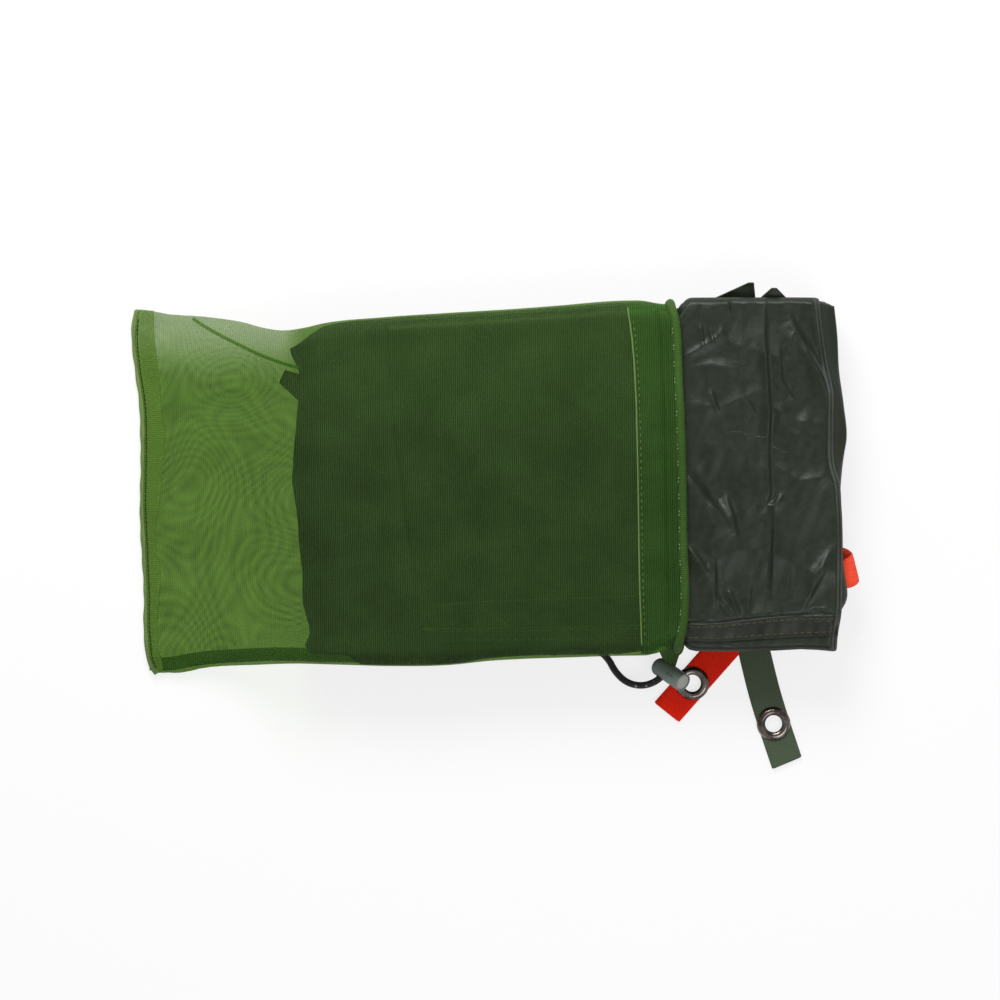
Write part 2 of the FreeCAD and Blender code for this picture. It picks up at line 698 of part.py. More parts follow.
def inner_tab():
    """A tab folded away between two plies, with one cut corner showing at the bundle's end."""
    turn = math.radians(INNER_TAB_ANGLE)
    way = Vector(math.cos(turn), math.sin(turn), 0)
    side = Vector(-way.y, way.x, 0)
    low = ply_heights()[TAB_PLY] + PLY_THICK / 2 + (TAB_PLY_GAP - WEB_THICK) / 2
    corner = Vector(INNER_TAB_CORNER[0], INNER_TAB_CORNER[1], low)
    far = corner + way * INNER_TAB_LENGTH
    across = side * WEB_WIDTH
    face = Part.Face(Part.makePolygon([corner, far, far + across, corner + across, corner]))
    return face.extrude(Vector(0, 0, WEB_THICK))


def report_cord(name, solid, length, radii):
    expected = math.pi * CORD_D**2 / 4 * length
    listed = ", ".join(f"{r:.1f}" for r in radii)
    print(f"{name}: length {length:.1f}, volume {solid.Volume:.1f} of {expected:.1f}, radii {listed}")


def main():
    os.makedirs("parts", exist_ok=True)
    save(sack_mesh(), "sack_mesh_panel")
    save(mouth_facing(), "sack_mouth_facing")
    save(channel(), "sack_cord_channel")
    save(end_seam(), "sack_end_seam")
    save(side_seam(), "sack_side_seam")
    ring_cord, ring_length, ring_radii = channel_cord()
    save(ring_cord, "drawcord_in_channel")
    free_cord, free_length, free_radii = tail_cord()
    save(free_cord, "drawcord_tail")
    save(knot(), "drawcord_knot")
    save(placed_on_cord(lock_barrel()), "cord_lock_barrel")
    save(placed_on_cord(lock_plunger()), "cord_lock_button")
    save(placed_on_cord(lock_spring()), "cord_lock_spring")
    save(folded_stack(), "tarp_folded_stack")
    save(top_ply(), "tarp_top_fold")
    save(edge_hem(), "tarp_edge_hem")
    save(red_web(), "red_tab_webbing")
    save(eyelet(RED_TAB_EYELET), "red_tab_eyelet")
    save(washer(RED_TAB_EYELET), "red_tab_washer")
    save(olive_web(), "olive_tab_webbing")
    save(eyelet(OLIVE_TAB_EYELET), "olive_tab_eyelet")
    save(washer(OLIVE_TAB_EYELET), "olive_tab_washer")
    save(red_loop(), "red_loop_webbing")
    save(inner_tab(), "inner_tab_webbing")
    report_cord("cord in channel", ring_cord, ring_length, ring_radii)
    report_cord("free cord", free_cord, free_length, free_radii)


main()
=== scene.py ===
import math

import bmesh
import bpy
import numpy as np
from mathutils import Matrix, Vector


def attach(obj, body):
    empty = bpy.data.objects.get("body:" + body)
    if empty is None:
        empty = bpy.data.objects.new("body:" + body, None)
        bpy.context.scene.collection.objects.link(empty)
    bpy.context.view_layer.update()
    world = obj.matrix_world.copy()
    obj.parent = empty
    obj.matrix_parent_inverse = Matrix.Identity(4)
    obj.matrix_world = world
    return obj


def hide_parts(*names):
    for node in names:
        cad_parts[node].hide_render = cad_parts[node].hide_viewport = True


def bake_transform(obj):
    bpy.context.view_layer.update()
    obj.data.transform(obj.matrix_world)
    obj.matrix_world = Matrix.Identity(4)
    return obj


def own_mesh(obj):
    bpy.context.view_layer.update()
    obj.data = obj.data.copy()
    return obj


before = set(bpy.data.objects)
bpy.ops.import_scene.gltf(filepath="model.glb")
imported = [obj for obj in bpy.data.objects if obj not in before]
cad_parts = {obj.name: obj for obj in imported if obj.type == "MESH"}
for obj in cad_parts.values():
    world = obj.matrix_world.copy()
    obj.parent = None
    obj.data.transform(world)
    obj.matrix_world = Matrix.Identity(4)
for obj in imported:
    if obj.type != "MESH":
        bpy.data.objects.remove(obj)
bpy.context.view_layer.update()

# A folded tarp half out of a see-through mesh drawcord sack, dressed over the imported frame.
# Shapes are worked out in millimetres, in the frame's own axes, and turned to metres at the end.
MM = 0.001


# ------------------------------------------------------------------ numbers that vary along a line

def curve(*stations):
    """A smooth function through (position, value) stations, level beyond both ends."""
    xs = np.array([s[0] for s in stations], float)
    ys = np.array([s[1] for s in stations], float)
    slope = np.gradient(ys, xs)
    at, out = [], []
    for i in range(len(xs) - 1):
        w = xs[i + 1] - xs[i]
        for t in np.linspace(0, 1, 24, endpoint=False):
            a, b = 2 * t**3 - 3 * t**2 + 1, t**3 - 2 * t**2 + t
            c, d = -2 * t**3 + 3 * t**2, t**3 - t**2
            at.append(xs[i] + w * t)
            out.append(a * ys[i] + b * w * slope[i] + c * ys[i + 1] + d * w * slope[i + 1])
    at.append(xs[-1])
    out.append(ys[-1])
    return lambda x: np.interp(x, at, out)


def step(x, low, high):
    t = np.clip((x - low) / (high - low), 0, 1)
    return t * t * (3 - 2 * t)


def mix(a, b, t):
    return a + (b - a) * t


def ripples(seed, size, stretch=1.0, turn=0.0, waves=18):
    """A smooth random height field of about -1 to 1, its lumps about size across."""
    rng = np.random.default_rng(seed)
    angle = rng.uniform(0, math.pi, waves)
    size = size * rng.uniform(0.6, 1.8, waves)
    phase = rng.uniform(0, 2 * math.pi, waves)
    c, s = math.cos(turn), math.sin(turn)

    def field(x, y):
        u, v = (x * c + y * s) / stretch, -x * s + y * c
        total = 0
        for a, l, p in zip(angle, size, phase):
            total = total + np.sin((u * math.cos(a) + v * math.sin(a)) * 2 * math.pi / l + p)
        return total / math.sqrt(waves / 2) / 1.6

    return field


def fold(x, y, points, width, height, lean=0.0):
    """A soft crease along a line of points, dying out at both ends."""
    best = np.full(np.shape(x), 1e9)
    along = np.zeros(np.shape(x))
    side = np.zeros(np.shape(x))
    lengths = [math.dist(a, b) for a, b in zip(points, points[1:])]
    total, done = sum(lengths), 0.0
    for (x0, y0), (x1, y1), length in zip(points, points[1:], lengths):
        ux, uy = (x1 - x0) / length, (y1 - y0) / length
        t = np.clip((x - x0) * ux + (y - y0) * uy, 0, length)
        dx, dy = x - x0 - ux * t, y - y0 - uy * t
        d = np.hypot(dx, dy)
        near = d < best
        best = np.where(near, d, best)
        along = np.where(near, (done + t) / total, along)
        side = np.where(near, dx * uy - dy * ux, side)
        done += length
    fade = np.sin(np.clip(along, 0.02, 0.98) * math.pi) ** 0.5
    ridge = np.exp(-((best / width) ** 1.3))
    slope = np.tanh(side / width) * np.exp(-((best / (3 * width)) ** 2))
    return height * fade * (ridge + lean * slope)


# ------------------------------------------------------------------ meshes

def mesh_object(name, points, faces, uvs=None, body=None, slot=None, material=None, smooth=True):
    mesh = bpy.data.meshes.new(name)
    points = np.array(points, float)
    if body:
        points[:, 2] = np.maximum(points[:, 2], 0.03)
    mesh.from_pydata([tuple(p) for p in points * MM], [], faces)
    if uvs is not None:
        layer = mesh.uv_layers.new(name="cloth")
        flat = np.array([uvs[v] for f in faces for v in f], np.float32)
        layer.data.foreach_set("uv", flat.ravel())
    mesh.validate()
    mesh.update()
    if smooth:
        mesh.polygons.foreach_set("use_smooth", [True] * len(mesh.polygons))
    piece = bpy.data.objects.new(name, mesh)
    bpy.context.scene.collection.objects.link(piece)
    if material:
        mesh.materials.append(material)
    if body:
        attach(piece, body)
    return piece


def quads(rows, cols, wrap=False, first=0):
    faces = []
    last = cols if wrap else cols - 1
    for i in range(rows - 1):
        for j in range(last):
            k = (j + 1) % cols
            faces.append((first + i * cols + j, first + (i + 1) * cols + j,
                          first + (i + 1) * cols + k, first + i * cols + k))
    return faces


def laid_sheet(name, x, y, z, thick, **rest):
    """A cloth of some thickness from grids of its top surface, with rounded edges all round."""
    rows, cols = x.shape
    top = np.stack([x, y, z + thick / 2], -1).reshape(-1, 3)
    low = np.stack([x, y, z - thick / 2], -1).reshape(-1, 3)
    u = np.concatenate([np.zeros((1, cols)), np.cumsum(np.hypot(*np.diff([x, y], axis=1)), 0)])
    v = np.concatenate([np.zeros((rows, 1)), np.cumsum(np.hypot(*np.diff([x, y], axis=2)), 1)], 1)
    uv = np.stack([u, v], -1).reshape(-1, 2)
    n = rows * cols
    index = np.arange(n).reshape(rows, cols)
    edge = np.concatenate([index[0, :-1], index[:-1, -1], index[-1, :0:-1], index[:0:-1, 0]])
    rim = (top[edge] + low[edge]) / 2
    before, after = np.roll(rim, 1, 0), np.roll(rim, -1, 0)
    way = after - before
    normal = np.stack([way[:, 1], -way[:, 0], np.zeros(len(way))], -1)
    normal /= np.linalg.norm(normal, axis=1)[:, None] + 1e-9
    area = np.sum(rim[:, 0] * after[:, 1] - after[:, 0] * rim[:, 1])
    sign = 1 if area > 0 else -1
    lip = thick[edge // cols, edge % cols] if np.ndim(thick) else np.full(len(edge), thick)
    out = rim + normal * sign * (lip[:, None] * 0.45)
    faces = quads(rows, cols)
    faces = [f[::-1] for f in faces] if sign > 0 else faces
    under = [tuple(i + n for i in f[::-1]) for f in quads(rows, cols)]
    under = [f[::-1] for f in under] if sign > 0 else under
    m = len(edge)
    sides = []
    for k in range(m):
        j = (k + 1) % m
        a, b = int(edge[k]), int(edge[j])
        sides.append((a, b, 2 * n + j, 2 * n + k))
        sides.append((2 * n + k, 2 * n + j, b + n, a + n))
    points = np.concatenate([top, low, out])
    uvs = np.concatenate([uv, uv, uv[edge]])
    piece = mesh_object(name, points, faces + under + sides, uvs, **rest)
    fix_normals(piece)
    return piece


def fix_normals(piece):
    """Join doubled points and turn every face outwards."""
    bm = bmesh.new()
    bm.from_mesh(piece.data)
    bmesh.ops.remove_doubles(bm, verts=bm.verts, dist=1e-7)
    bmesh.ops.recalc_face_normals(bm, faces=bm.faces)
    bm.to_mesh(piece.data)
    bm.free()


def spline_points(points, samples=12, closed=False):
    """A smooth line through points, as an array."""
    p = np.array(points, float)
    n = len(p)
    out = []
    for i in range(n if closed else n - 1):
        a, b = p[i], p[(i + 1) % n]
        before = p[(i - 1) % n] if closed or i else a
        after = p[(i + 2) % n] if closed or i + 2 < n else b
        for t in np.linspace(0, 1, samples, endpoint=False):
            out.append(0.5 * (2 * a + (b - before) * t + (2 * before - 5 * a + 4 * b - after) * t**2
                              + (3 * a - before - 3 * b + after) * t**3))
    if not closed:
        out.append(p[-1])
    return np.array(out)


def swept(name, line, radius, closed=False, around=14, **rest):
    """A tube along a line, its radius a number, an array along it, or a function of (along, around)."""
    line = np.array(line, float)
    n = len(line)
    way = (np.roll(line, -1, 0) - np.roll(line, 1, 0)) if closed else np.gradient(line, axis=0)
    way /= np.linalg.norm(way, axis=1)[:, None]
    side = np.cross(way[0], (0, 0, 1.0))
    if np.linalg.norm(side) < 0.1:
        side = np.cross(way[0], (0, 1.0, 0))
    points, uvs = [], []
    length = np.concatenate([[0], np.cumsum(np.linalg.norm(np.diff(line, axis=0), axis=1))])
    for i in range(n):
        side = side - way[i] * np.dot(side, way[i])
        side /= np.linalg.norm(side)
        up = np.cross(side, way[i])
        for j in range(around):
            a = 2 * math.pi * j / around
            r = radius(length[i], a) if callable(radius) else (radius[i] if np.ndim(radius) else radius)
            points.append(line[i] + (side * math.cos(a) + up * math.sin(a)) * r)
            uvs.append((length[i], a * 2.0))
    faces = quads(n, around, wrap=True)
    if closed:
        faces += [((n - 1) * around + j, j, (j + 1) % around, (n - 1) * around + (j + 1) % around)
                  for j in range(around)]
    else:
        for ring, first in ((0, 0), (n - 1, (n - 1) * around)):
            points.append(line[ring])
            uvs.append((length[ring], 0))
            centre = len(points) - 1
            for j in range(around):
                a, b = first + j, first + (j + 1) % around
                faces.append((centre, a, b) if ring == 0 else (centre, b, a))
    piece = mesh_object(name, points, faces, uvs, **rest)
    fix_normals(piece)
    return piece


# ------------------------------------------------------------------ material nodes

class Paint:
    """A material's or group's node tree, with short ways to add and join nodes."""

    def __init__(self, tree):
        self.tree = tree

    def add(self, kind, **settings):
        node = self.tree.nodes.new(kind)
        for key, value in settings.items():
            setattr(node, key, value)
        return node

    def join(self, source, target):
        self.tree.links.new(source, target)

    def feed(self, socket, value):
        if isinstance(value, bpy.types.NodeSocket):
            self.join(value, socket)
        else:
            socket.default_value = value

    def math(self, operation, a, b=0.0, c=0.0, clamp=False):
        node = self.add("ShaderNodeMath", operation=operation, use_clamp=clamp)
        for socket, value in zip(node.inputs, (a, b, c)):
            self.feed(socket, value)
        return node.outputs[0]

    def blend(self, share, a, b):
        node = self.add("ShaderNodeMix", data_type="RGBA")
        self.feed(node.inputs["Factor"], share)
        self.feed(node.inputs["A"], a)
        self.feed(node.inputs["B"], b)
        return node.outputs["Result"]

    def ramp(self, value, low, high, to_low=0.0, to_high=1.0):
        node = self.add("ShaderNodeMapRange", interpolation_type="SMOOTHSTEP")
        for key, v in (("Value", value), ("From Min", low), ("From Max", high),
                       ("To Min", to_low), ("To Max", to_high)):
            self.feed(node.inputs[key], v)
        return node.outputs[0]

    def noise(self, vector, scale, detail=3.0, rough=0.55):
        node = self.add("ShaderNodeTexNoise")
        self.feed(node.inputs["Vector"], vector)
        self.feed(node.inputs["Scale"], scale)
        self.feed(node.inputs["Detail"], detail)
        self.feed(node.inputs["Roughness"], rough)
        return node.outputs[0]

    def group(self, tree, **inputs):
        node = self.add("ShaderNodeGroup")
        node.node_tree = tree
        for key, value in inputs.items():
            self.feed(node.inputs[key.replace("_", " ")], value)
        return node


def new_group(name, inputs, outputs):
    tree = bpy.data.node_groups.new(name, "ShaderNodeTree")
    for kind, sockets in (("INPUT", inputs), ("OUTPUT", outputs)):
        for label, form, *default in sockets:
            socket = tree.interface.new_socket(label, in_out=kind, socket_type="NodeSocket" + form)
            if default:
                socket.default_value = default[0]
    p = Paint(tree)
    return p, p.add("NodeGroupInput").outputs, p.add("NodeGroupOutput").inputs


def weave_group():
    """Crossing threads: height, and how near the top of a thread a point is."""
    p, i, o = new_group("Weave", [("Vector", "Vector"), ("Warp", "Float", 1.0), ("Weft", "Float", 1.0)],
                        [("Height", "Float"), ("Rib", "Float")])
    parts = p.add("ShaderNodeSeparateXYZ")
    p.join(i["Vector"], parts.inputs[0])
    turn = 2 * math.pi
    u = p.math("DIVIDE", p.math("MULTIPLY", parts.outputs["X"], turn), i["Warp"])
    v = p.math("DIVIDE", p.math("MULTIPLY", parts.outputs["Y"], turn), i["Weft"])
    a, b = p.math("SINE", u), p.math("SINE", v)
    over = p.math("MULTIPLY_ADD", p.math("MULTIPLY", a, b), 0.5, 0.5)
    p.join(over, o["Height"])
    p.join(p.math("MULTIPLY_ADD", p.math("COSINE", u), 0.5, 0.5), o["Rib"])
    return p.tree


def net_group():
    """A knitted net: strong ribs one way, fine threads the other, and holes between."""
    p, i, o = new_group("Net", [("Vector", "Vector"), ("Rib Pitch", "Float", 1.05),
                                ("Cross Pitch", "Float", 0.9),
                                ("Hole Pitch", "Float", 0.36)],
                        [("Cover", "Float"), ("Rib", "Float"), ("Hole", "Float")])
    wander = p.noise(i["Vector"], 0.035, 2.0)
    parts = p.add("ShaderNodeSeparateXYZ")
    p.join(i["Vector"], parts.inputs[0])
    turn = 2 * math.pi
    shifted = p.math("ADD", parts.outputs["X"], p.math("MULTIPLY", wander, 1.6))
    u = p.math("DIVIDE", p.math("MULTIPLY", shifted, turn), i["Rib Pitch"])
    v = p.math("DIVIDE", p.math("MULTIPLY", parts.outputs["Y"], turn), i["Cross Pitch"])
    rib = p.math("MULTIPLY_ADD", p.math("COSINE", u), 0.5, 0.5)
    cross = p.math("MULTIPLY_ADD", p.math("COSINE", v), 0.5, 0.5)
    cover = p.math("MAXIMUM", p.ramp(rib, 0.25, 0.75), p.ramp(cross, 0.55, 0.9, 0.0, 0.75))
    across = p.math("DIVIDE", p.math("MULTIPLY", parts.outputs["X"], turn), i["Hole Pitch"])
    along = p.math("DIVIDE", p.math("MULTIPLY", parts.outputs["Y"], turn), i["Hole Pitch"])
    holes = p.math("MULTIPLY", p.math("SINE", across), p.math("SINE", along))
    p.join(cover, o["Cover"])
    p.join(rib, o["Rib"])
    p.join(p.math("MULTIPLY_ADD", holes, 0.5, 0.5), o["Hole"])
    return p.tree


def mottle_group():
    """Slow and fine unevenness, for colour, roughness and bump."""
    p, i, o = new_group("Mottle", [("Vector", "Vector"), ("Size", "Float", 1.0)],
                        [("Slow", "Float"), ("Fine", "Float")])
    scale = p.math("DIVIDE", 1.0, i["Size"])
    p.join(p.noise(i["Vector"], scale, 3.0), o["Slow"])
    p.join(p.noise(i["Vector"], p.math("MULTIPLY", scale, 11.0), 4.0), o["Fine"])
    return p.tree


WEAVE, NET, MOTTLE = weave_group(), net_group(), mottle_group()


def new_material(name):
    material = bpy.data.materials.new(name)
    material.use_nodes = True
    p = Paint(material.node_tree)
    material.node_tree.nodes.clear()
    shader = p.add("ShaderNodeBsdfPrincipled")
    out = p.add("ShaderNodeOutputMaterial")
    p.join(shader.outputs[0], out.inputs["Surface"])
    return material, p, shader, out


def cloth_vector(p):
    """The place on the flat cloth, in millimetres."""
    return p.add("ShaderNodeUVMap", uv_map="cloth").outputs[0]


def place_vector(p):
    """The piece's own place, in millimetres."""
    scale = p.add("ShaderNodeVectorMath", operation="SCALE")
    p.join(p.add("ShaderNodeTexCoord").outputs["Object"], scale.inputs[0])
    scale.inputs["Scale"].default_value = 1000.0
    return scale.outputs[0]


def bump(p, shader, height, distance, strength=1.0):
    node = p.add("ShaderNodeBump")
    node.inputs["Strength"].default_value = strength
    node.inputs["Distance"].default_value = distance
    p.feed(node.inputs["Height"], height)
    p.join(node.outputs[0], shader.inputs["Normal"])


def net_material(name, dark, bright, tint, cover, open_share=0.5, sheen=0.05):
    """See-through net: threads that reflect, holes and thread edges that let tinted light by. The threads
    are painted lighter towards the top, where the light falls.
    """
    material, p, shader, out = new_material(name)
    vector = cloth_vector(p)
    net = p.group(NET, Vector=vector)
    mottle = p.group(MOTTLE, Vector=vector, Size=26.0)
    place = p.add("ShaderNodeSeparateXYZ")
    p.join(place_vector(p), place.inputs[0])
    shade = p.math("MULTIPLY_ADD", net.outputs["Rib"], 0.6, p.math("MULTIPLY", mottle.outputs["Slow"], 0.5))
    # Painted light: the threads are painted lighter towards +Y, the side the light comes from.
    shade = p.math("ADD", shade, p.ramp(place.outputs["Y"], 20.0, 92.0, 0.0, 0.24))
    p.join(p.blend(p.math("MULTIPLY", shade, 1.0, clamp=True), dark, bright), shader.inputs["Base Color"])
    p.join(p.ramp(mottle.outputs["Fine"], 0.2, 0.8, 0.5, 0.75), shader.inputs["Roughness"])
    shader.inputs["Sheen Weight"].default_value = sheen
    shader.inputs["Sheen Roughness"].default_value = 0.5
    shader.inputs["Specular IOR Level"].default_value = 0.2
    bump(p, shader, net.outputs["Cover"], 0.0003, 0.6)
    clear = p.add("ShaderNodeBsdfTransparent")
    join = p.add("ShaderNodeMixShader")
    ribs = p.ramp(net.outputs["Cover"], 0.0, 1.0, *cover)
    holes = p.ramp(net.outputs["Hole"], 0.3, 0.7, 1.0 - open_share, 1.0 + open_share)
    slack = p.ramp(mottle.outputs["Slow"], 0.3, 0.7, 0.93, 1.07)
    # Near the top edge of the closed end the net is made more see-through and its clear tint paler, so it
    # reads lighter there.
    high = p.ramp(p.math("MULTIPLY_ADD", mottle.outputs["Slow"], 16.0, place.outputs["Y"]), 74.0, 108.0)
    top_end_share = p.math("MULTIPLY", high, p.ramp(place.outputs["X"], -108.0, -92.0, 1.0, 0.0))
    slack = p.math("MULTIPLY", slack, p.ramp(top_end_share, 0.0, 1.0, 1.0, 0.72))
    p.join(p.blend(top_end_share, tint, tuple(0.45 * c + 0.55 for c in tint)), clear.inputs["Color"])
    path = p.add("ShaderNodeLightPath")
    lit = p.ramp(path.outputs["Is Shadow Ray"], 0.0, 1.0, 1.0, 0.3)
    share = p.math("MULTIPLY", p.math("MULTIPLY", p.math("MULTIPLY", ribs, slack), holes), lit, clamp=True)
    p.join(share, join.inputs[0])
    p.join(clear.outputs[0], join.inputs[1])
    p.join(shader.outputs[0], join.inputs[2])
    p.join(join.outputs[0], out.inputs["Surface"])
    return material


def cloth_material(name, dark, bright, size=38.0, rough=(0.42, 0.62), weave=0.55, inner=None):
    """Thin coated cloth: fine weave, soft sheen, faint rubbed creases."""
    material, p, shader, _ = new_material(name)
    vector = cloth_vector(p)
    mottle = p.group(MOTTLE, Vector=vector, Size=size)
    weave_node = p.group(WEAVE, Vector=vector, Warp=weave, Weft=weave)
    crease = p.add("ShaderNodeTexVoronoi", feature="DISTANCE_TO_EDGE")
    warped = p.add("ShaderNodeVectorMath", operation="ADD")
    p.join(vector, warped.inputs[0])
    lump = p.add("ShaderNodeVectorMath", operation="SCALE")
    p.join(p.noise(vector, 0.05, 3.0), lump.inputs[0])
    lump.inputs["Scale"].default_value = 18.0
    p.join(lump.outputs[0], warped.inputs[1])
    p.join(warped.outputs[0], crease.inputs["Vector"])
    crease.inputs["Scale"].default_value = 0.045
    rubbed = p.ramp(crease.outputs["Distance"], 0.0, 0.03, 1.0, 0.0)
    faint = p.math("MULTIPLY", rubbed, p.ramp(mottle.outputs["Slow"], 0.45, 0.7))
    tone = p.math("MULTIPLY_ADD", mottle.outputs["Slow"], 0.7,
                  p.math("MULTIPLY", mottle.outputs["Fine"], 0.25))
    tone = p.math("ADD", tone, p.math("MULTIPLY", faint, 0.25), clamp=True)
    colour = p.blend(tone, dark, bright)
    # Under the net the cloth is painted. It is near black left of the top ply's edge, as painted shade
    # where the lower plies lie. Towards the top and right it is lifted to a pale bluish painted sheen,
    # where the light falls.
    if inner:
        place = p.add("ShaderNodeSeparateXYZ")
        p.join(place_vector(p), place.inputs[0])
        wander = p.math("MULTIPLY_ADD", mottle.outputs["Slow"], 12.0, place.outputs["X"])
        sheen_share = p.math("MULTIPLY", p.ramp(wander, -50.0, -38.0, 0.12, 1.0),
                       p.ramp(place.outputs["Y"], -40.0, 88.0, 0.12, 0.9))
        under_net = p.blend(sheen_share, p.blend(tone, *inner[:2]), inner[2])
        colour = p.blend(p.ramp(place.outputs["X"], 60.0, 100.0), under_net, colour)
    p.join(colour, shader.inputs["Base Color"])
    p.join(p.ramp(mottle.outputs["Fine"], 0.25, 0.75, *rough), shader.inputs["Roughness"])
    shader.inputs["Sheen Weight"].default_value = 0.03
    shader.inputs["Sheen Roughness"].default_value = 0.45
    shader.inputs["Specular IOR Level"].default_value = 0.31
    height = p.math("MULTIPLY_ADD", weave_node.outputs["Height"], 0.12,
                    p.math("MULTIPLY_ADD", mottle.outputs["Fine"], 0.5, p.math("MULTIPLY", faint, 0.5)))
    bump(p, shader, height, 0.0004, 0.55)
    return material


def webbing_material(name, dark, bright, rib=1.3):
    """Woven tape: ribs across it, thread shade, lighter on the weave's high points and darker in its
    hollows.
    """
    material, p, shader, _ = new_material(name)
    vector = cloth_vector(p)
    weave_node = p.group(WEAVE, Vector=vector, Warp=rib, Weft=rib * 0.8)
    mottle = p.group(MOTTLE, Vector=vector, Size=9.0)
    tone = p.math("MULTIPLY_ADD", weave_node.outputs["Height"], 0.5,
                  p.math("MULTIPLY", mottle.outputs["Fine"], 0.6), clamp=True)
    p.join(p.blend(tone, dark, bright), shader.inputs["Base Color"])
    p.join(p.ramp(mottle.outputs["Slow"], 0.3, 0.7, 0.62, 0.82), shader.inputs["Roughness"])
    shader.inputs["Sheen Weight"].default_value = 0.06
    shader.inputs["Sheen Roughness"].default_value = 0.4
    shader.inputs["Specular IOR Level"].default_value = 0.15
    bump(p, shader, weave_node.outputs["Height"], 0.00035, 0.7)
    return material


def cord_material():
    """Black braid with small pale flecks along it."""
    material, p, shader, _ = new_material("braided cord")
    vector = place_vector(p)
    braid = p.add("ShaderNodeTexVoronoi", feature="F1")
    p.join(vector, braid.inputs["Vector"])
    braid.inputs["Scale"].default_value = 1.5
    flecks = p.add("ShaderNodeTexVoronoi", feature="F1")
    p.join(vector, flecks.inputs["Vector"])
    flecks.inputs["Scale"].default_value = 0.36
    spot = p.ramp(flecks.outputs["Distance"], 0.24, 0.29, 1.0, 0.0)
    base = p.blend(p.ramp(braid.outputs["Distance"], 0.1, 0.6), (0.012, 0.013, 0.014, 1),
                   (0.004, 0.004, 0.005, 1))
    p.join(p.blend(p.math("MULTIPLY", spot, 0.75), base, (0.32, 0.31, 0.27, 1)),
           shader.inputs["Base Color"])
    p.join(p.ramp(braid.outputs["Distance"], 0.1, 0.7, 0.5, 0.8), shader.inputs["Roughness"])
    shader.inputs["Sheen Weight"].default_value = 0.2
    bump(p, shader, p.math("SUBTRACT", 1.0, braid.outputs["Distance"]), 0.0004, 0.9)
    return material


def plastic_material(name, dark, bright, rough=(0.38, 0.55)):
    """Moulded plastic: fine grain, faint scuffs, lighter on rubbed places."""
    material, p, shader, _ = new_material(name)
    vector = place_vector(p)
    mottle = p.group(MOTTLE, Vector=vector, Size=4.0)
    scuff = p.noise(vector, 2.2, 6.0, 0.7)
    tone = p.math("MULTIPLY_ADD", mottle.outputs["Slow"], 0.5, p.ramp(scuff, 0.56, 0.68, 0.0, 0.5),
                  clamp=True)
    p.join(p.blend(tone, dark, bright), shader.inputs["Base Color"])
    p.join(p.ramp(scuff, 0.35, 0.65, *rough), shader.inputs["Roughness"])
    bump(p, shader, mottle.outputs["Fine"], 0.0001, 0.5)
    return material


def metal_material(name, dark, bright, rough=(0.2, 0.36)):
    """Dark plated metal, brighter in slow uneven patches."""
    material, p, shader, _ = new_material(name)
    vector = place_vector(p)
    mottle = p.group(MOTTLE, Vector=vector, Size=5.0)
    fine = p.noise(vector, 3.0, 5.0, 0.65)
    p.join(p.blend(p.ramp(mottle.outputs["Slow"], 0.35, 0.7), dark, bright), shader.inputs["Base Color"])
    p.join(p.ramp(fine, 0.3, 0.7, *rough), shader.inputs["Roughness"])
    shader.inputs["Metallic"].default_value = 0.92
    bump(p, shader, fine, 0.00005, 0.4)
    return material


def rgb(r, g, b):
    """An sRGB colour as linear light."""
    linear = [c / 255 / 12.92 if c <= 10 else ((c / 255 + 0.055) / 1.055) ** 2.4 for c in (r, g, b)]
    return (*linear, 1.0)


MESH = net_material("green net", rgb(20, 38, 12), rgb(60, 90, 38), (0.58, 0.78, 0.32, 1), (0.41, 0.59), 0.6)
MESH_DOUBLE = net_material("green net, doubled", rgb(36, 76, 12), rgb(92, 148, 44), (0.54, 0.78, 0.22, 1),
                           (0.38, 0.60), 0.6)
TAPE = net_material("green rolled edge", rgb(32, 60, 12), rgb(62, 98, 32), (0.35, 0.5, 0.15, 1),
                    (0.82, 0.97), 0.1)
SEAM = net_material("green seam", rgb(70, 104, 32), rgb(98, 132, 52), (0.85, 0.9, 0.7, 1), (0.45, 0.6), 0.3)
SEAM_DEEP = net_material("green seam, folded twice", rgb(48, 84, 18), rgb(76, 114, 36),
                         (0.64, 0.8, 0.38, 1), (0.42, 0.58), 0.3)
EDGE = net_material("green seam edge", rgb(84, 116, 50), rgb(126, 154, 88), (0.5, 0.68, 0.3, 1),
                    (0.75, 0.92), 0.2)
TARP = cloth_material("tarp cloth", rgb(20, 26, 16), rgb(37, 46, 31), rough=(0.3, 0.46))
# The third colour given as inner is a painted sheen for the cloth under the net.
TARP_STACK = cloth_material("tarp cloth, turned over", rgb(24, 30, 20), rgb(42, 50, 37), rough=(0.36, 0.52),
                            inner=(rgb(16, 17, 7), rgb(27, 28, 14), rgb(66, 78, 72)))
HEM = cloth_material("tarp hem", rgb(18, 23, 14), rgb(33, 38, 26), rough=(0.34, 0.5))
RED_WEB = webbing_material("red webbing", rgb(206, 18, 5), rgb(255, 44, 14))
OLIVE_WEB = webbing_material("olive webbing", rgb(56, 68, 52), rgb(90, 103, 82))
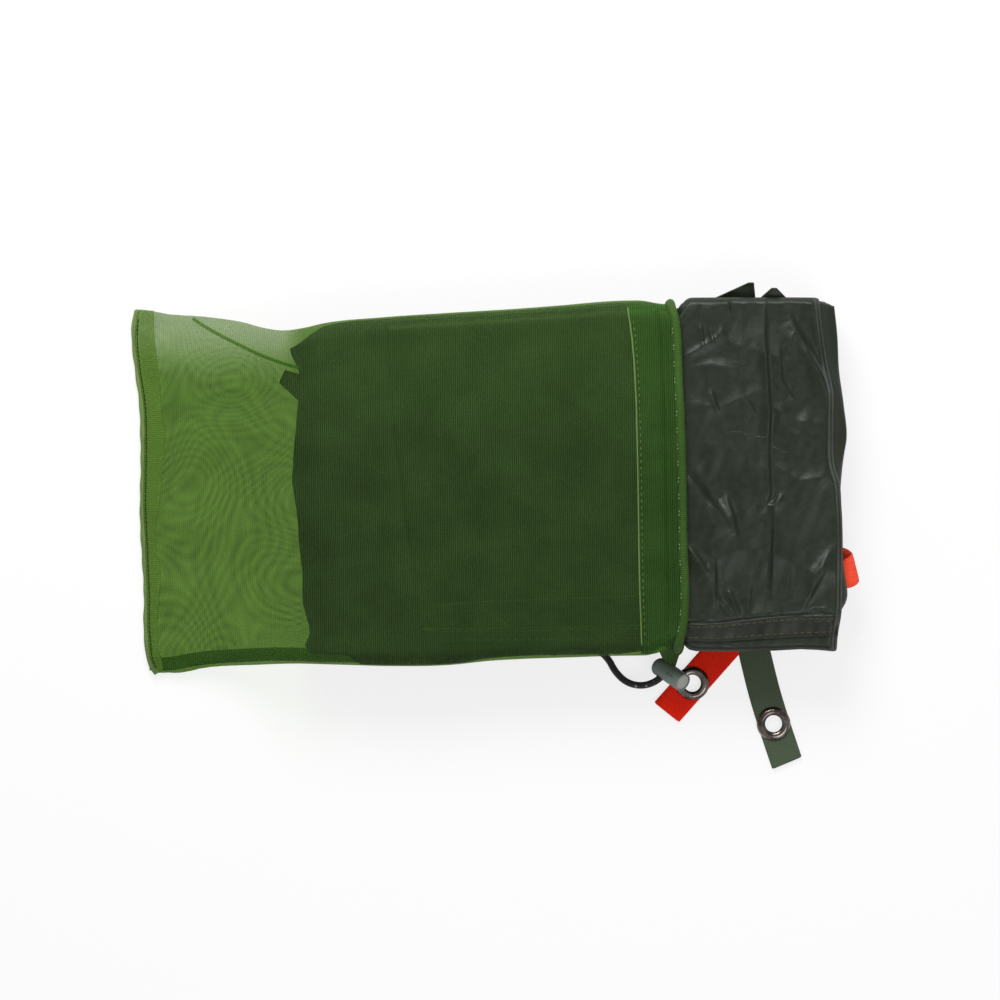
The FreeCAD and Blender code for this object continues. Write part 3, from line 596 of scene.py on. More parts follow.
# Painted light: a lighter copy of the red webbing, standing in for the light on the raised loop.
RED_WEB_LIT = webbing_material("red webbing, painted lit", rgb(240, 52, 28), rgb(255, 96, 66))
DARK_WEB = webbing_material("dark webbing", rgb(10, 14, 9), rgb(26, 32, 22))
CORD = cord_material()
LOCK = plastic_material("lock body", rgb(112, 124, 118), rgb(146, 158, 152))
BUTTON = plastic_material("lock button", rgb(146, 147, 141), rgb(188, 188, 182))
GUNMETAL = metal_material("gunmetal", rgb(84, 77, 72), rgb(146, 138, 130), (0.12, 0.26))
STEEL = metal_material("spring steel", rgb(150, 150, 150), rgb(190, 190, 190))
THREAD_GREEN = webbing_material("olive thread", rgb(84, 96, 54), rgb(126, 136, 86), 0.5)
THREAD_PALE = webbing_material("pale green thread", rgb(112, 136, 84), rgb(160, 178, 126), 0.5)
THREAD_DARK = webbing_material("seam thread", rgb(26, 42, 16), rgb(46, 64, 26), 0.5)
THREAD_TARP = webbing_material("hem thread", rgb(70, 66, 48), rgb(106, 98, 74), 0.5)


# ------------------------------------------------------------------ camera, light and floor

def add_light(name, place, aim, size, power, colour=(1, 1, 1)):
    data = bpy.data.lights.new(name, "AREA")
    data.shape, data.size, data.energy, data.color = "DISK", size, power, colour
    lamp = bpy.data.objects.new(name, data)
    lamp.location = place
    lamp.rotation_euler = (Vector(aim) - Vector(place)).to_track_quat("-Z", "Y").to_euler()
    bpy.context.scene.collection.objects.link(lamp)


def set_stage():
    data = bpy.data.cameras.new("camera")
    data.lens, data.sensor_width = 288.0, 36.0
    data.clip_end = 20
    camera = bpy.data.objects.new("camera", data)
    camera.location = (0.003, 0.01225, 4.02)
    bpy.context.scene.collection.objects.link(camera)
    bpy.context.scene.camera = camera
    bpy.context.scene.view_settings.view_transform = "Standard"

    world = bpy.data.worlds.new("studio")
    world.use_nodes = True
    world.node_tree.nodes["Background"].inputs["Color"].default_value = (1, 1, 1, 1)
    world.node_tree.nodes["Background"].inputs["Strength"].default_value = 0.36
    bpy.context.scene.world = world
    add_light("key", (-0.1, 0.78, 0.74), (0, 0.02, 0), 0.6, 10.5)
    add_light("fill", (0.7, -0.9, 1.5), (0, 0, 0), 1.2, 11)

    material, p, shader, out = new_material("pale floor")
    grain = p.noise(place_vector(p), 0.02, 2.0)
    p.join(p.blend(p.math("MULTIPLY", grain, 0.3), (0.9, 0.9, 0.9, 1), (0.86, 0.86, 0.86, 1)),
           shader.inputs["Base Color"])
    shader.inputs["Roughness"].default_value = 0.9
    glow = p.add("ShaderNodeEmission")
    glow.inputs["Color"].default_value = (1, 1, 1, 1)
    seen = p.add("ShaderNodeMixShader")
    path = p.add("ShaderNodeLightPath")
    p.join(p.math("MULTIPLY", path.outputs["Is Camera Ray"], 0.76), seen.inputs[0])
    p.join(shader.outputs[0], seen.inputs[1])
    p.join(glow.outputs[0], seen.inputs[2])
    p.join(seen.outputs[0], out.inputs["Surface"])
    ticks = np.linspace(-3000, 3000, 5)
    x, y = np.meshgrid(ticks, ticks, indexing="ij")
    points = np.stack([x, y, np.full(x.shape, -0.15)], -1).reshape(-1, 3)
    floor = mesh_object("floor", points, [f[::-1] for f in quads(5, 5)], material=material)


# ------------------------------------------------------------------ outlines, in millimetres

SACK_LOW = curve((-182, -74.5), (-162, -74.2), (-152, -72.3), (-122, -70.3), (-102, -69.4), (-82, -69.8),
                 (-52, -70.6), (-22, -70.0), (-2, -68.0), (18, -66.9), (38, -66.3), (68, -65.4),
                 (85, -65.2))
SACK_HIGH = curve((-182, 108.2), (-172, 107.6), (-162, 105.8), (-142, 104.2), (-122, 101.2), (-112, 98.4),
                  (-102, 96.9), (-92, 98.0), (-82, 100.3), (-52, 103.4), (-22, 105.4), (18, 107.8),
                  (38, 109.3), (68, 111.6), (85, 111.8))
SACK_RISE = curve((-176, 2.6), (-166, 4.6), (-150, 9.0), (-136, 14.5), (-122, 23.0), (-112, 31.0),
                  (-104, 36.4), (-96, 38.6), (-60, 39.2), (-30, 40.2), (60, 40.6), (85, 41.2))
END_X = curve((-76, -169.5), (-70, -173.0), (-58, -175.0), (-34, -175.6), (-14, -176.4), (10, -177.4),
              (40, -177.0), (58, -177.4), (80, -180.4), (94, -181.6), (104, -180.8), (108, -179.8))
MOUTH_X = curve((-66, 90.6), (-61, 91.6), (-56, 92.8), (-50, 94.0), (-40, 94.8), (-10, 94.1), (22, 93.6),
                (56, 92.6), (76, 91.6), (92, 91.0), (102, 90.0), (108, 88.4), (113, 87.0))
FACING_X = curve((-66, 73.6), (-38, 72.6), (47, 71.0), (66, 70.4), (90, 68.8), (111, 66.0))
LOW_ROUND, TOP_ROUND = 19.0, 9.0
RING_LOW, RING_HIGH, RING_FLOOR, RING_TOP = -61.8, 110.05, 2.45, 40.85
RING_FROM, RING_TO = 78.0, 91.0         # where the sack draws in to the mouth's ring
NET_FLOOR = 0.3
ROUND_GAP = 0.05                        # keeps two roundings from meeting
NET_START, NET_TURN, NET_END = 18.0, 233.0, 412.0       # offsets that unroll the net's sides


def round_section(t, y0, y1, z0, z1, low, top):
    """A point on a closed rounded section.

    t from 0 runs along the bottom, up the far side, back over the top and down the near side.
    """
    low = np.minimum(low, (z1 - z0) / 2 - ROUND_GAP)
    top = np.minimum(top, (z1 - z0) / 2 - ROUND_GAP)
    half = math.pi / 2
    flat0, flat1 = (y1 - y0) - 2 * low, (y1 - y0) - 2 * top
    wall = (z1 - z0) - low - top
    parts = [flat0, half * low, wall, half * top, flat1, half * top, wall, half * low]
    marks = np.concatenate([[0], np.cumsum(parts)])
    s = (t % 1.0) * marks[-1]
    k = int(np.searchsorted(marks, s, side="right") - 1)
    k = min(k, 7)
    d = s - marks[k]
    first, last = (marks[1], marks[4]) if k < 4 else (marks[5], marks[8])
    share = (s - first) / (last - first)
    if k == 0:
        y, z = y0 + low + d, z0
    elif k == 1:
        y, z = y1 - low + low * math.sin(d / low), z0 + low - low * math.cos(d / low)
    elif k == 2:
        y, z = y1, z0 + low + d
    elif k == 3:
        y, z = y1 - top + top * math.cos(d / top), z1 - top + top * math.sin(d / top)
    elif k == 4:
        y, z = y1 - top - d, z1
    elif k == 5:
        y, z = y0 + top - top * math.sin(d / top), z1 - top + top * math.cos(d / top)
    elif k == 6:
        y, z = y0, z1 - top - d
    else:
        y, z = y0 + low - low * math.cos(d / low), z0 + low - low * math.sin(d / low)
    return y, z, k, share


def net_place(y, k, share, y0, y1, low, top):
    """How far round the net a point lies. Both flat sides keep in step with each other."""
    if k == 0:
        return y - NET_START
    if k == 4:
        return NET_TURN - y
    if k < 4:
        return mix(y1 - low - NET_START, NET_TURN - (y1 - top), share)
    return mix(NET_TURN - (y0 + top), NET_END + y0 + low, share)


def section_box(x):
    """The sack's lower, upper, bottom and top limits at x, drawn in to the mouth's ring near the end."""
    m = float(step(x, RING_FROM, RING_TO))
    return (mix(float(SACK_LOW(x)), RING_LOW, m), mix(float(SACK_HIGH(x)), RING_HIGH, m),
            mix(NET_FLOOR, RING_FLOOR, m), mix(float(SACK_RISE(x)), RING_TOP, m))


def sack_section(x, t, inset):
    """A point of the sack's section at x, its place on the flat net, and its share of the height."""
    y0, y1, z0, z1 = section_box(x)
    y0, y1, z0, z1 = y0 + inset, y1 - inset, z0 + inset, z1 - inset
    y, z, k, share = round_section(t, y0, y1, z0, z1, LOW_ROUND - inset, TOP_ROUND - inset)
    low, top = (min(r - inset, (z1 - z0) / 2 - ROUND_GAP) for r in (LOW_ROUND, TOP_ROUND))
    return y, z, net_place(y, k, share, y0, y1, low, top), (z - z0) / (z1 - z0)


EDGE_SETBACK = 1.9                      # from the mouth's line back to where the net joins its edge
ASKEW_X, ASKEW_Y = ripples(21, 62), ripples(22, 70)     # how the lower net lies askew to the upper
SACK_SLOW = ripples(11, 46, 2.2)
SACK_FINE = ripples(12, 15, 2.6, 0.35)
END_FOLDS = [
    ([(-149, 103), (-138, 96), (-127, 90.8), (-117, 85.8), (-106, 81.8), (-99, 79)], 2.2, 2.6),
    ([(-176, 60), (-150, 56), (-128, 50), (-108, 42)], 3.5, 1.3),
    ([(-172, -66), (-150, -52), (-128, -34), (-110, -24)], 3.5, 1.4),
    ([(-176, 8), (-152, 2), (-130, -2), (-110, -6)], 4.5, 1.0),
    ([(-178, 98), (-160, 84), (-140, 74), (-118, 66)], 4.0, 1.4),
    ([(-160, 20), (-140, 26), (-122, 22)], 5.0, -1.0),
    ([(-158, -20), (-140, -14), (-124, -16)], 5.0, -0.9),
]
BODY_FOLDS = [
    ([(-92, 84), (-72, 70), (-60, 48)], 4.0, 0.5),
    ([(40, 98), (55, 60), (62, 20)], 6.0, 0.35),
    ([(84, 108), (86, 60), (87, 0), (88, -58)], 2.0, -0.9),
]


def sack_lift(x, y):
    """How far the mesh stands above its plain section."""
    empty = 1 - step(x, -116.0, -96.0)
    lift = empty * (1.0 * SACK_SLOW(x, y) + 0.35 * SACK_FINE(x, y)) * step(x, -178.0, -160.0)
    lift = lift + (1 - empty) * (0.28 * SACK_SLOW(x, y) + 0.14 * SACK_FINE(x, y))
    for points, width, height in END_FOLDS:
        lift = lift + fold(x, y, points, width, height, 0.3) * (empty * 0.95 + 0.05)
    for points, width, height in BODY_FOLDS:
        lift = lift + fold(x, y, points, width, height, 0.2)
    return lift


def sack_cloth(s_values, around, inset, start_x=None):
    """The sack's net as one sheet round the bundle, from its closed end or from start_x to the mouth."""
    points, uvs = [], []
    for s in s_values:
        x = mix(-178.0, 92.0, s)
        for j in range(around):
            t = j / around
            y, z, round_it, up = sack_section(x, t, inset)
            mouth = float(MOUTH_X(y))
            if start_x is None:
                px = mix(float(END_X(y)), mouth - EDGE_SETBACK, s)
            else:
                share = (s - s_values[0]) / (s_values[-1] - s_values[0])
                px = mix(float(start_x(y)), mouth - EDGE_SETBACK, share)
            high = float(step(up, 0.5, 0.95))
            z += high * float(sack_lift(px, y))
            groove = math.exp(-(((px - mouth + 6.4) / 1.7) ** 2)) * float(step(y, -58.0, -50.0))
            z -= 1.5 * high * groove
            if start_x is None:
                z = mix(2.0 + 0.5 * (up - 0.5), z, float(step(s, -0.004, 0.02)))
            points.append((px, y, z))
            askew = 1.0 - high
            uvs.append((px + askew * float(ASKEW_X(px, y)), round_it + askew * float(ASKEW_Y(px, y))))
    return points, uvs, quads(len(s_values), around, wrap=True)


set_stage()

# ------------------------------------------------------------------ the sack

AROUND = 210
s_rows = np.concatenate([np.linspace(0, 0.06, 12, endpoint=False),
                         np.linspace(0.06, 0.9, 160, endpoint=False),
                         np.linspace(0.9, 1.0, 26)])
points, uvs, faces = sack_cloth(s_rows, AROUND, 0.0)
sack = mesh_object("sack_mesh_cloth", points, faces, uvs, body="sack", slot="green_mesh", material=MESH)
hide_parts("sack_mesh_panel")

f_rows = np.linspace(0.925, 0.992, 26)
points, uvs, faces = sack_cloth(f_rows, AROUND, 0.75, start_x=FACING_X)
facing = mesh_object("sack_facing_cloth", points, faces, uvs, body="sack", slot="green_mesh_double",
                     material=MESH_DOUBLE)
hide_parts("sack_mouth_facing")


def mouth_line(count, shift=0.0, inset=0.0):
    """The line down the middle of the rolled edge, round the mouth."""
    line = []
    for k in range(count):
        y, z, *_ = round_section(k / count, RING_LOW + inset, RING_HIGH - inset, RING_FLOOR + inset,
                                 RING_TOP - inset, LOW_ROUND - inset, TOP_ROUND - inset)
        line.append((float(MOUTH_X(y)) + shift, y, z))
    return line


gather = ripples(31, 7.0, 1.0)
ring_line = np.array(mouth_line(420))


def edge_radius(s, a):
    """The rolled edge, puckered by the cord inside it."""
    pleat = 0.10 * math.sin(s * 2 * math.pi / 2.9 + 1.3 * math.sin(s / 17)) + 0.12 * float(gather(s, a * 3))
    return 2.28 + pleat * 0.8


edge = swept("sack_rolled_edge", ring_line, edge_radius, closed=True, around=18, body="sack",
             slot="green_tape", material=TAPE)
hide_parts("sack_cord_channel")

# The gathered sleeve where the cord leaves the rolled edge.
LOOP_MIDDLE = np.array((73.8, -65.6, 4.96))
LOOP_R, HIGH_ANGLE = 15.2, 340
TILT, HIGH_SIDE = math.radians(15.8), math.radians(HIGH_ANGLE)
rising = np.array((math.cos(HIGH_SIDE) * math.cos(TILT), math.sin(HIGH_SIDE) * math.cos(TILT),
                   math.sin(TILT)))
level = np.array((-math.sin(HIGH_SIDE), math.cos(HIGH_SIDE), 0))


def loop_at(angle, radius):
    """A point of the tilted ring that the cord's loop follows, its angle in degrees."""
    turn = math.radians(angle - HIGH_ANGLE)
    return LOOP_MIDDLE + rising * radius * math.cos(turn) + level * radius * math.sin(turn)


corners = [loop_at(362 - 30 * i, LOOP_R / math.cos(math.radians(15))) for i in range(6)]


def first_run(share):
    """A point of the cord's straight run out of the sleeve."""
    return corners[1] + (corners[0] - corners[1]) * share


sleeve_line = spline_points([(90.6, -54.0, 9.5), (90.8, -58.0, 8.6), (91.0, -61.6, 7.8), first_run(1.25),
                             first_run(0.9), first_run(0.62)], 9)
n_sleeve = len(sleeve_line)
sleeve_size = np.interp(np.linspace(0, 1, n_sleeve), [0, 0.25, 0.5, 0.75, 0.92, 1.0],
                        [5.2, 5.0, 4.0, 3.1, 2.6, 2.75])
sleeve_length = float(np.sum(np.linalg.norm(np.diff(sleeve_line, axis=0), axis=1)))


def sleeve_radius(s, a):
    """The sleeve, narrower and less pleated towards the lock."""
    share = s / sleeve_length
    base = float(np.interp(share, np.linspace(0, 1, n_sleeve), sleeve_size))
    deep = 0.09 * (1 - share) + 0.035
    return base * (1 + deep * math.sin(a * 7 + s * 0.35) + 0.4 * deep * math.sin(a * 13 - s * 0.6))


swept("sack_cord_sleeve", sleeve_line, sleeve_radius, around=56, body="sack", slot="green_tape",
      material=TAPE)

# The mouth's lower corner, drawn together over the sleeve.
cu, cv = np.meshgrid(np.linspace(0, 1, 60), np.linspace(0, 1, 30), indexing="ij")
draw = cv**0.8
gather_x = mix(mix(81.0, 95.6, cu), mix(86.0, 90.8, cu), draw)
gather_y = mix(mix(-60.4, -57.4, cu), mix(-70.2, -70.9, cu), cv)
pleats = np.sin(cu * 5 * math.pi + 0.6 * cv) * (0.25 + 0.5 * cv) * np.sin(cu * math.pi) ** 0.5
gather_z = mix(30.0, 12.6, cv**0.7) + pleats - 4.0 * np.abs(cu - 0.45) ** 2 * 4
laid_sheet("sack_gathered_corner", gather_x, gather_y, gather_z, np.full(cu.shape, 0.8), body="sack",
           slot="green_tape", material=TAPE)


def strip_on(name, centre, normal, width, thick, side=None, **rest):
    """A flat strip along a line, lying square to a normal, one closed form."""
    centre = np.array(centre, float)
    way = np.gradient(centre, axis=0)
    side = np.cross(way, np.array(normal, float)) if side is None else np.tile(side, (len(centre), 1))
    side /= np.linalg.norm(side, axis=1)[:, None] + 1e-9
    up = np.cross(side, way)
    up /= np.linalg.norm(up, axis=1)[:, None] + 1e-9
    profile = [(-0.5, 0), (-0.46, 0.42), (-0.3, 0.5), (0, 0.5), (0.3, 0.5), (0.46, 0.42), (0.5, 0),
               (0.46, -0.42), (0.3, -0.5), (0, -0.5), (-0.3, -0.5), (-0.46, -0.42)]
    length = np.concatenate([[0], np.cumsum(np.linalg.norm(np.diff(centre, axis=0), axis=1))])
    points, uvs = [], []
    for i in range(len(centre)):
        for a, b in profile:
            points.append(centre[i] + side[i] * a * width + up[i] * b * thick)
            uvs.append((length[i], a * width))
    n, m = len(centre), len(profile)
    faces = quads(n, m, wrap=True)
    faces += [tuple(range(m - 1, -1, -1)), tuple((n - 1) * m + j for j in range(m))]
    piece = mesh_object(name, points, faces, uvs, **rest)
    fix_normals(piece)
    return piece


def on_sack(x, y, above=0.0):
    """A point of the sack's upper cloth."""
    y0, y1, z0, z1 = section_box(x)
    top = min(TOP_ROUND, (z1 - z0) / 2 - ROUND_GAP)
    d = max(top - (y - y0), top - (y1 - y), 0.0)
    z = z1 - top + math.sqrt(max(top * top - d * d, 0)) if d < top else z1 - top
    up = (z - z0) / (z1 - z0)
    return (x, y, z + float(step(up, 0.5, 0.95)) * float(sack_lift(x, y)) + above)


def stitches(name, line, pitch, length, thick, body, slot, material, pair=None, dip=0.25):
    """A row of stitches along a line: short rounded threads that dip into the cloth at both ends."""
    line = np.array(line, float)
    steps = np.linalg.norm(np.diff(line, axis=0), axis=1)
    marks = np.concatenate([[0], np.cumsum(steps)])
    points, faces = [], []
    offsets = [0.0] if pair is None else [-pair / 2, pair / 2]

    def at(d):
        return np.array([np.interp(d, marks, line[:, k]) for k in range(3)])

    for k in range(int(marks[-1] / pitch)):
        for offset in offsets:
            middle = (k + 0.5) * pitch + offset
            if middle + length / 2 > marks[-1]:
                continue
            ring_at = [-0.5, -0.36, 0, 0.36, 0.5]
            a, b = at(middle - length / 2), at(middle + length / 2)
            way = (b - a) / (np.linalg.norm(b - a) + 1e-9)
            side = np.cross(way, (0, 0, 1.0))
            side /= np.linalg.norm(side) + 1e-9
            up = np.cross(side, way)
            first = len(points)
            for r in ring_at:
                centre = at(middle + r * length) - up * dip * thick * 4 * abs(r) ** 2
                size = thick / 2 * (0.45 if abs(r) == 0.5 else 1.0)
                for j in range(6):
                    t = math.pi / 3 * j
                    points.append(centre + (side * math.cos(t) + up * math.sin(t)) * size)
            for r in range(len(ring_at) - 1):
                here, following = first + r * 6, first + (r + 1) * 6
                for j in range(6):
                    q = (j + 1) % 6
                    faces.append((here + j, here + q, following + q, following + j))
            faces.append(tuple(first + j for j in range(5, -1, -1)))
            faces.append(tuple(first + (len(ring_at) - 1) * 6 + j for j in range(6)))
    uvs = [(p[0], p[1]) for p in points]
    return mesh_object(name, points, faces, uvs, body=body, slot=slot, material=material)


THREAD_THICK = 0.42
SEAM_X = curve((-72, -166.5), (-54, -169.4), (-40, -168.6), (-23, -167.6), (-10, -170.2), (-3, -170.4),
               (12, -168.0), (29, -166.6), (47, -165.6), (60, -167.4), (72, -168.2), (94, -170.6),
               (105, -171.0))


def over_sack(name, x0, x1, y0, y1, rows, cols, lift, thick, **rest):
    """A band of cloth on the sack's upper side, between two lines that run across it."""
    ys = np.linspace(y0, y1, rows)
    xs = np.array([np.linspace(float(x0(y)), float(x1(y)), cols) for y in ys])
    yy = np.repeat(ys[:, None], cols, 1)
    zz = np.array([[on_sack(a, b, lift)[2] for a, b in zip(r, q)] for r, q in zip(xs, yy)])
    return laid_sheet(name, xs, yy, zz, np.full(zz.shape, thick), **rest)


end_band = over_sack("sack_end_seam_tape", lambda y: END_X(y) + 1.6, SEAM_X, -73.6, 107.2, 112, 9, 0.5, 0.6,
                     body="sack", slot="green_mesh_double", material=SEAM)
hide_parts("sack_end_seam")
bead_line = [(float(END_X(y)) + 0.7, y, 2.0) for y in np.linspace(-75, 107.5, 80)]
bead = swept("sack_end_seam_bead", bead_line,
             lambda d, a: 1.25 + 0.18 * math.sin(d / 2.1) + 0.2 * math.sin(d / 9.0),
             around=10, body="sack", slot="green_tape", material=EDGE)
stitches("sack_end_seam_stitches",
         [on_sack(float(END_X(y)) + 2.5, y, 1.0) for y in np.linspace(-72, 105, 90)],
         2.2, 1.9, 0.6, "sack", "green_mesh_double", THREAD_DARK)

side_x = np.linspace(-173, 62, 92)
side_line = [(x, float(SACK_LOW(x)) + 4.6 + 0.3 * math.sin(x / 11), float(SACK_RISE(x)) * 0.5 + 0.6)
             for x in side_x]
side_tape = strip_on("sack_side_seam_tape", side_line, [(0, -0.25, 1)] * len(side_x), 7.0, 1.0, body="sack",
                     slot="green_mesh_double", material=SEAM_DEEP)
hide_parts("sack_side_seam")

pleat_line = spline_points([(-151.0, 103.2), (-145.5, 99.5), (-138.0, 95.2), (-127.0, 89.6), (-117.0, 84.8),
                            (-106.0, 80.6), (-97.0, 78.0)], 8)
pleat_line = [on_sack(x, y, -1.6) for x, y in pleat_line]
strip_on("sack_net_pleat", pleat_line, [(0, 0, 1)] * len(pleat_line), 1.7, 0.6, body="sack",
         slot="green_mesh", material=MESH_DOUBLE)

ys = np.linspace(-56, 104, 90)
stitches("sack_facing_stitches", [on_sack(float(FACING_X(y)) + 1.8, y, 0.25) for y in ys],
         3.3, 1.5, THREAD_THICK, "sack", "green_mesh_double", THREAD_GREEN)
stitches("sack_edge_stitches", [(float(MOUTH_X(y)) - EDGE_SETBACK, y, RING_TOP + 1.55) for y in ys],
         8.25, 0.9, 0.5, "sack", "green_tape", THREAD_PALE, pair=1.8)
ys = np.linspace(-60, 108, 90)
fold_line = [on_sack(float(FACING_X(y)) + 0.1, y, 0.3) for y in ys]
swept("sack_facing_fold", fold_line, 0.4, around=8, body="sack", slot="green_mesh_double", material=EDGE)


# ------------------------------------------------------------------ the folded tarp

LEFT_X = curve((-66, -91.0), (-60, -95.6), (-57, -94.2), (-38, -95.6), (-18, -97.2), (2, -98.8),
               (14, -100.2), (21, -101.0), (30, -100.2), (47, -99.2), (62, -98.2), (75, -98.6),
               (89, -101.6), (96, -99.0))
PLY_X = curve((-64, -33.0), (-57, -33.8), (-46, -37.4), (-32, -37.7), (-18, -39.6), (1, -43.0), (28, -46.0),
              (40, -48.4), (60, -50.0), (80, -51.6), (103, -53.0))
RIGHT_X = curve((-63, 170.0), (-58, 170.3), (-54, 170.6), (-48, 171.8), (-43, 173.2), (-40, 175.2),
                (-23, 174.9), (-10, 173.4), (3, 172.5), (22, 173.4), (35, 175.0), (42, 176.2),
                (60, 174.8), (76, 172.6), (95, 171.6), (110, 170.0))
TOP_RIGHT_X = curve((-63, 169.6), (-55, 170.2), (-44, 172.0), (-30, 172.4), (9, 172.0), (22, 170.8),
                    (27, 169.2), (50, 168.0), (67, 167.8), (79, 165.2), (97, 162.6), (113, 160.8))


def low_y(x):
    """The bundle's lower outline: just inside the sack, then free beyond its mouth."""
    inside = SACK_LOW(x) + 0.5 + 4.2 * (1 - step(x, -74.0, -66.0)) + 1.0 * step(x, -14.0, -4.0)
    at_mouth = np.interp(x, [60, 78, 86, 92, 95, 98, 101],
                         [-64.9, -62.6, -59.6, -59.2, -60.2, -61.8, -62.4])
    free = np.interp(x, [101, 114, 128, 140, 153, 162, 170],
                     [-62.4, -62.6, -62.4, -62.1, -61.4, -61.8, -62.6])
    return np.where(x < 60, inside, np.where(x < 101, at_mouth, free))


def high_y(x):
    """The bundle's upper outline."""
    corner = 8.4 * (1 - step(x, -104.0, -80.0)) ** 1.5
    inside = SACK_HIGH(x) - 0.5 - corner
    at_mouth = np.interp(x, [64, 72, 80, 87, 91.5, 93.5, 96, 99],
                         [110.6, 110.2, 108.6, 107.4, 107.4, 110.2, 111.8, 112.2])
    free = np.interp(x, [99, 120, 150, 160, 165, 170], [112.2, 112.3, 112.3, 112.2, 111.4, 109.6])
    return np.where(x < 64, inside, np.where(x < 99, at_mouth, free))


FLOOR_Z = curve((-100, 1.9), (60, 1.9), (78, 3.0), (88, 5.3), (100, 5.3), (108, 1.6), (114, 0.7),
                (175, 0.7))
STACK_TOP = 34.0
ROUND_R = curve((-100, 19.0), (60, 19.0), (86, 18.0), (98, 15.0), (108, 12.0), (175, 11.0))

TOP_FOLDS = [
    ([(135.4, 112.6), (134.9, 94.7), (137.3, 55.6), (136.5, 36.0), (137.3, 14.9), (134.9, 8.4)], 1.3,
     0.75, 0.9),
    ([(135.6, 9.4), (139.8, 10.4), (143.0, 14.9)], 1.5, 0.9, 0.8),
    ([(139.8, 8.4), (139.4, -8.0), (138.1, -36.0)], 1.6, 0.95, -0.6),
    ([(147.6, 103.0), (156.0, 88.0), (164.2, 73.5), (168.0, 64.0)], 2.4, 1.2, 1.0),
    ([(149.5, 96.0), (146.3, 86.0)], 1.6, 0.7, 0.5),
    ([(142.2, 89.8), (143.0, 71.9), (149.5, 62.1)], 1.3, 0.5, 0.6),
    ([(116.0, 112.5), (117.4, 105.0)], 1.1, 0.4, 0.5),
    ([(103.1, 99.6), (104.4, 88.2)], 1.1, 0.6, 0.4),
    ([(108.0, 97.9), (109.6, 89.8)], 1.0, 0.5, 0.4),
    ([(95.6, 83.9), (110.5, 93.0), (114.0, 98.0)], 2.2, 0.8, 0.5),
    ([(96.0, 78.0), (108.0, 80.0), (126.0, 76.0)], 3.5, 0.5, 0.3),
    ([(108.0, 67.0), (112.1, 55.6)], 1.0, 0.55, 0.6),
    ([(125.9, 62.1), (130.8, 54.8)], 1.0, 0.5, 0.5),
    ([(99.0, 60.0), (112.0, 58.0), (130.0, 66.0)], 4.0, 0.5, 0.2),
    ([(95.8, 25.0), (103.0, 17.5), (112.0, 6.0), (118.0, -4.0)], 3.6, 1.5, 0.9),
    ([(115.3, 14.9), (119.0, 4.0), (121.0, -6.0)], 1.7, 0.9, 0.7),
    ([(96.6, -10.0), (103.0, -19.0), (107.0, -26.0)], 2.6, 1.1, 0.7),
    ([(109.0, -14.0), (110.0, -26.0), (109.6, -42.0)], 2.0, 0.8, 0.6),
    ([(164.2, -21.0), (159.0, -31.0), (153.5, -43.0)], 2.2, 1.1, 0.8),
    ([(167.5, -12.0), (160.0, -26.0), (157.0, -40.0)], 2.4, 0.7, -0.7),
    ([(117.0, -32.0), (122.4, -45.4)], 1.4, 0.8, 0.6),
    ([(110.5, -35.6), (118.6, -45.4)], 1.4, 0.7, 0.5),
    ([(128.0, -30.0), (126.0, -45.0)], 1.8, 0.6, 0.5),
    ([(148.0, -20.0), (144.0, -44.0)], 2.2, 0.6, 0.4),
    ([(136.0, 60.0), (150.0, 52.0), (166.0, 50.0)], 5.0, 0.6, 0.3),
    ([(140.0, 30.0), (152.0, 22.0), (168.0, 24.0)], 4.0, 0.6, 0.3),
    ([(124.0, 108.0), (122.0, 80.0), (126.0, 40.0)], 5.0, 0.5, 0.2),
]
UNDER_MESH_FOLDS = [
    ([(-66.0, 96.0), (-60.0, 60.0), (-58.0, 10.0)], 7.0, 0.5, 0.3),
    ([(-20.0, 100.0), (20.0, 60.0), (60.0, 40.0)], 7.0, 0.4, 0.3),
    ([(-30.0, -20.0), (10.0, -10.0), (70.0, -24.0)], 6.0, 0.4, 0.2),
    ([(-90.0, 30.0), (-70.0, 0.0), (-64.0, -40.0)], 6.0, 0.4, 0.3),
]
CLOTH_SLOW, CLOTH_FINE = ripples(41, 30, 1.5, 1.1), ripples(42, 9, 2.0, 1.3)
HEM_LIFT, FACETS = ripples(43, 12), ripples(44, 34, 1.3, 0.9, 7)
HEM_TOP = curve((-34, -52.0), (60, -50.4), (98, -49.2), (108, -49.2), (124, -47.6), (137, -46.2),
                (166, -44.8), (171, -45.0))
HEM_LOW = curve((-34, -58.8), (60, -58.2), (98, -57.8), (108, -58.2), (137, -56.6), (171, -55.2))


def top_relief(x, y):
    """Wrinkles of the tarp's upper face."""
    out = step(x, 92.0, 104.0)
    z = 0.22 * CLOTH_SLOW(x, y) + (0.05 + 0.12 * out) * CLOTH_FINE(x, y) + 0.25 * out * CLOTH_SLOW(x, y)
    for points, width, height, lean in TOP_FOLDS:
        z = z + fold(x, y, points, width * 0.85, height * 1.5, lean)
    above_hem = y - (HEM_TOP(x) + 0.7)
    z = z - 0.9 * np.exp(-((above_hem / 0.6) ** 2))
    z = z - 1.1 * step(x, 94.0, 112.0) * (np.abs(FACETS(x, y)) - 0.4)
    for points, width, height, lean in UNDER_MESH_FOLDS:
        z = z + fold(x, y, points, width, height, lean)
    return np.clip(z, -1.9, 2.1)


def stack_top(x, y):
    """The upper face of the folded stack, below the last fold."""
    left = LEFT_X(y)
    droop = 5.5 * (1 - step(x - left, 0.0, 16.0)) ** 2
    beyond = 6.5 * step(x - TOP_RIGHT_X(y), -2.5, 8.0)
    return STACK_TOP - droop - beyond


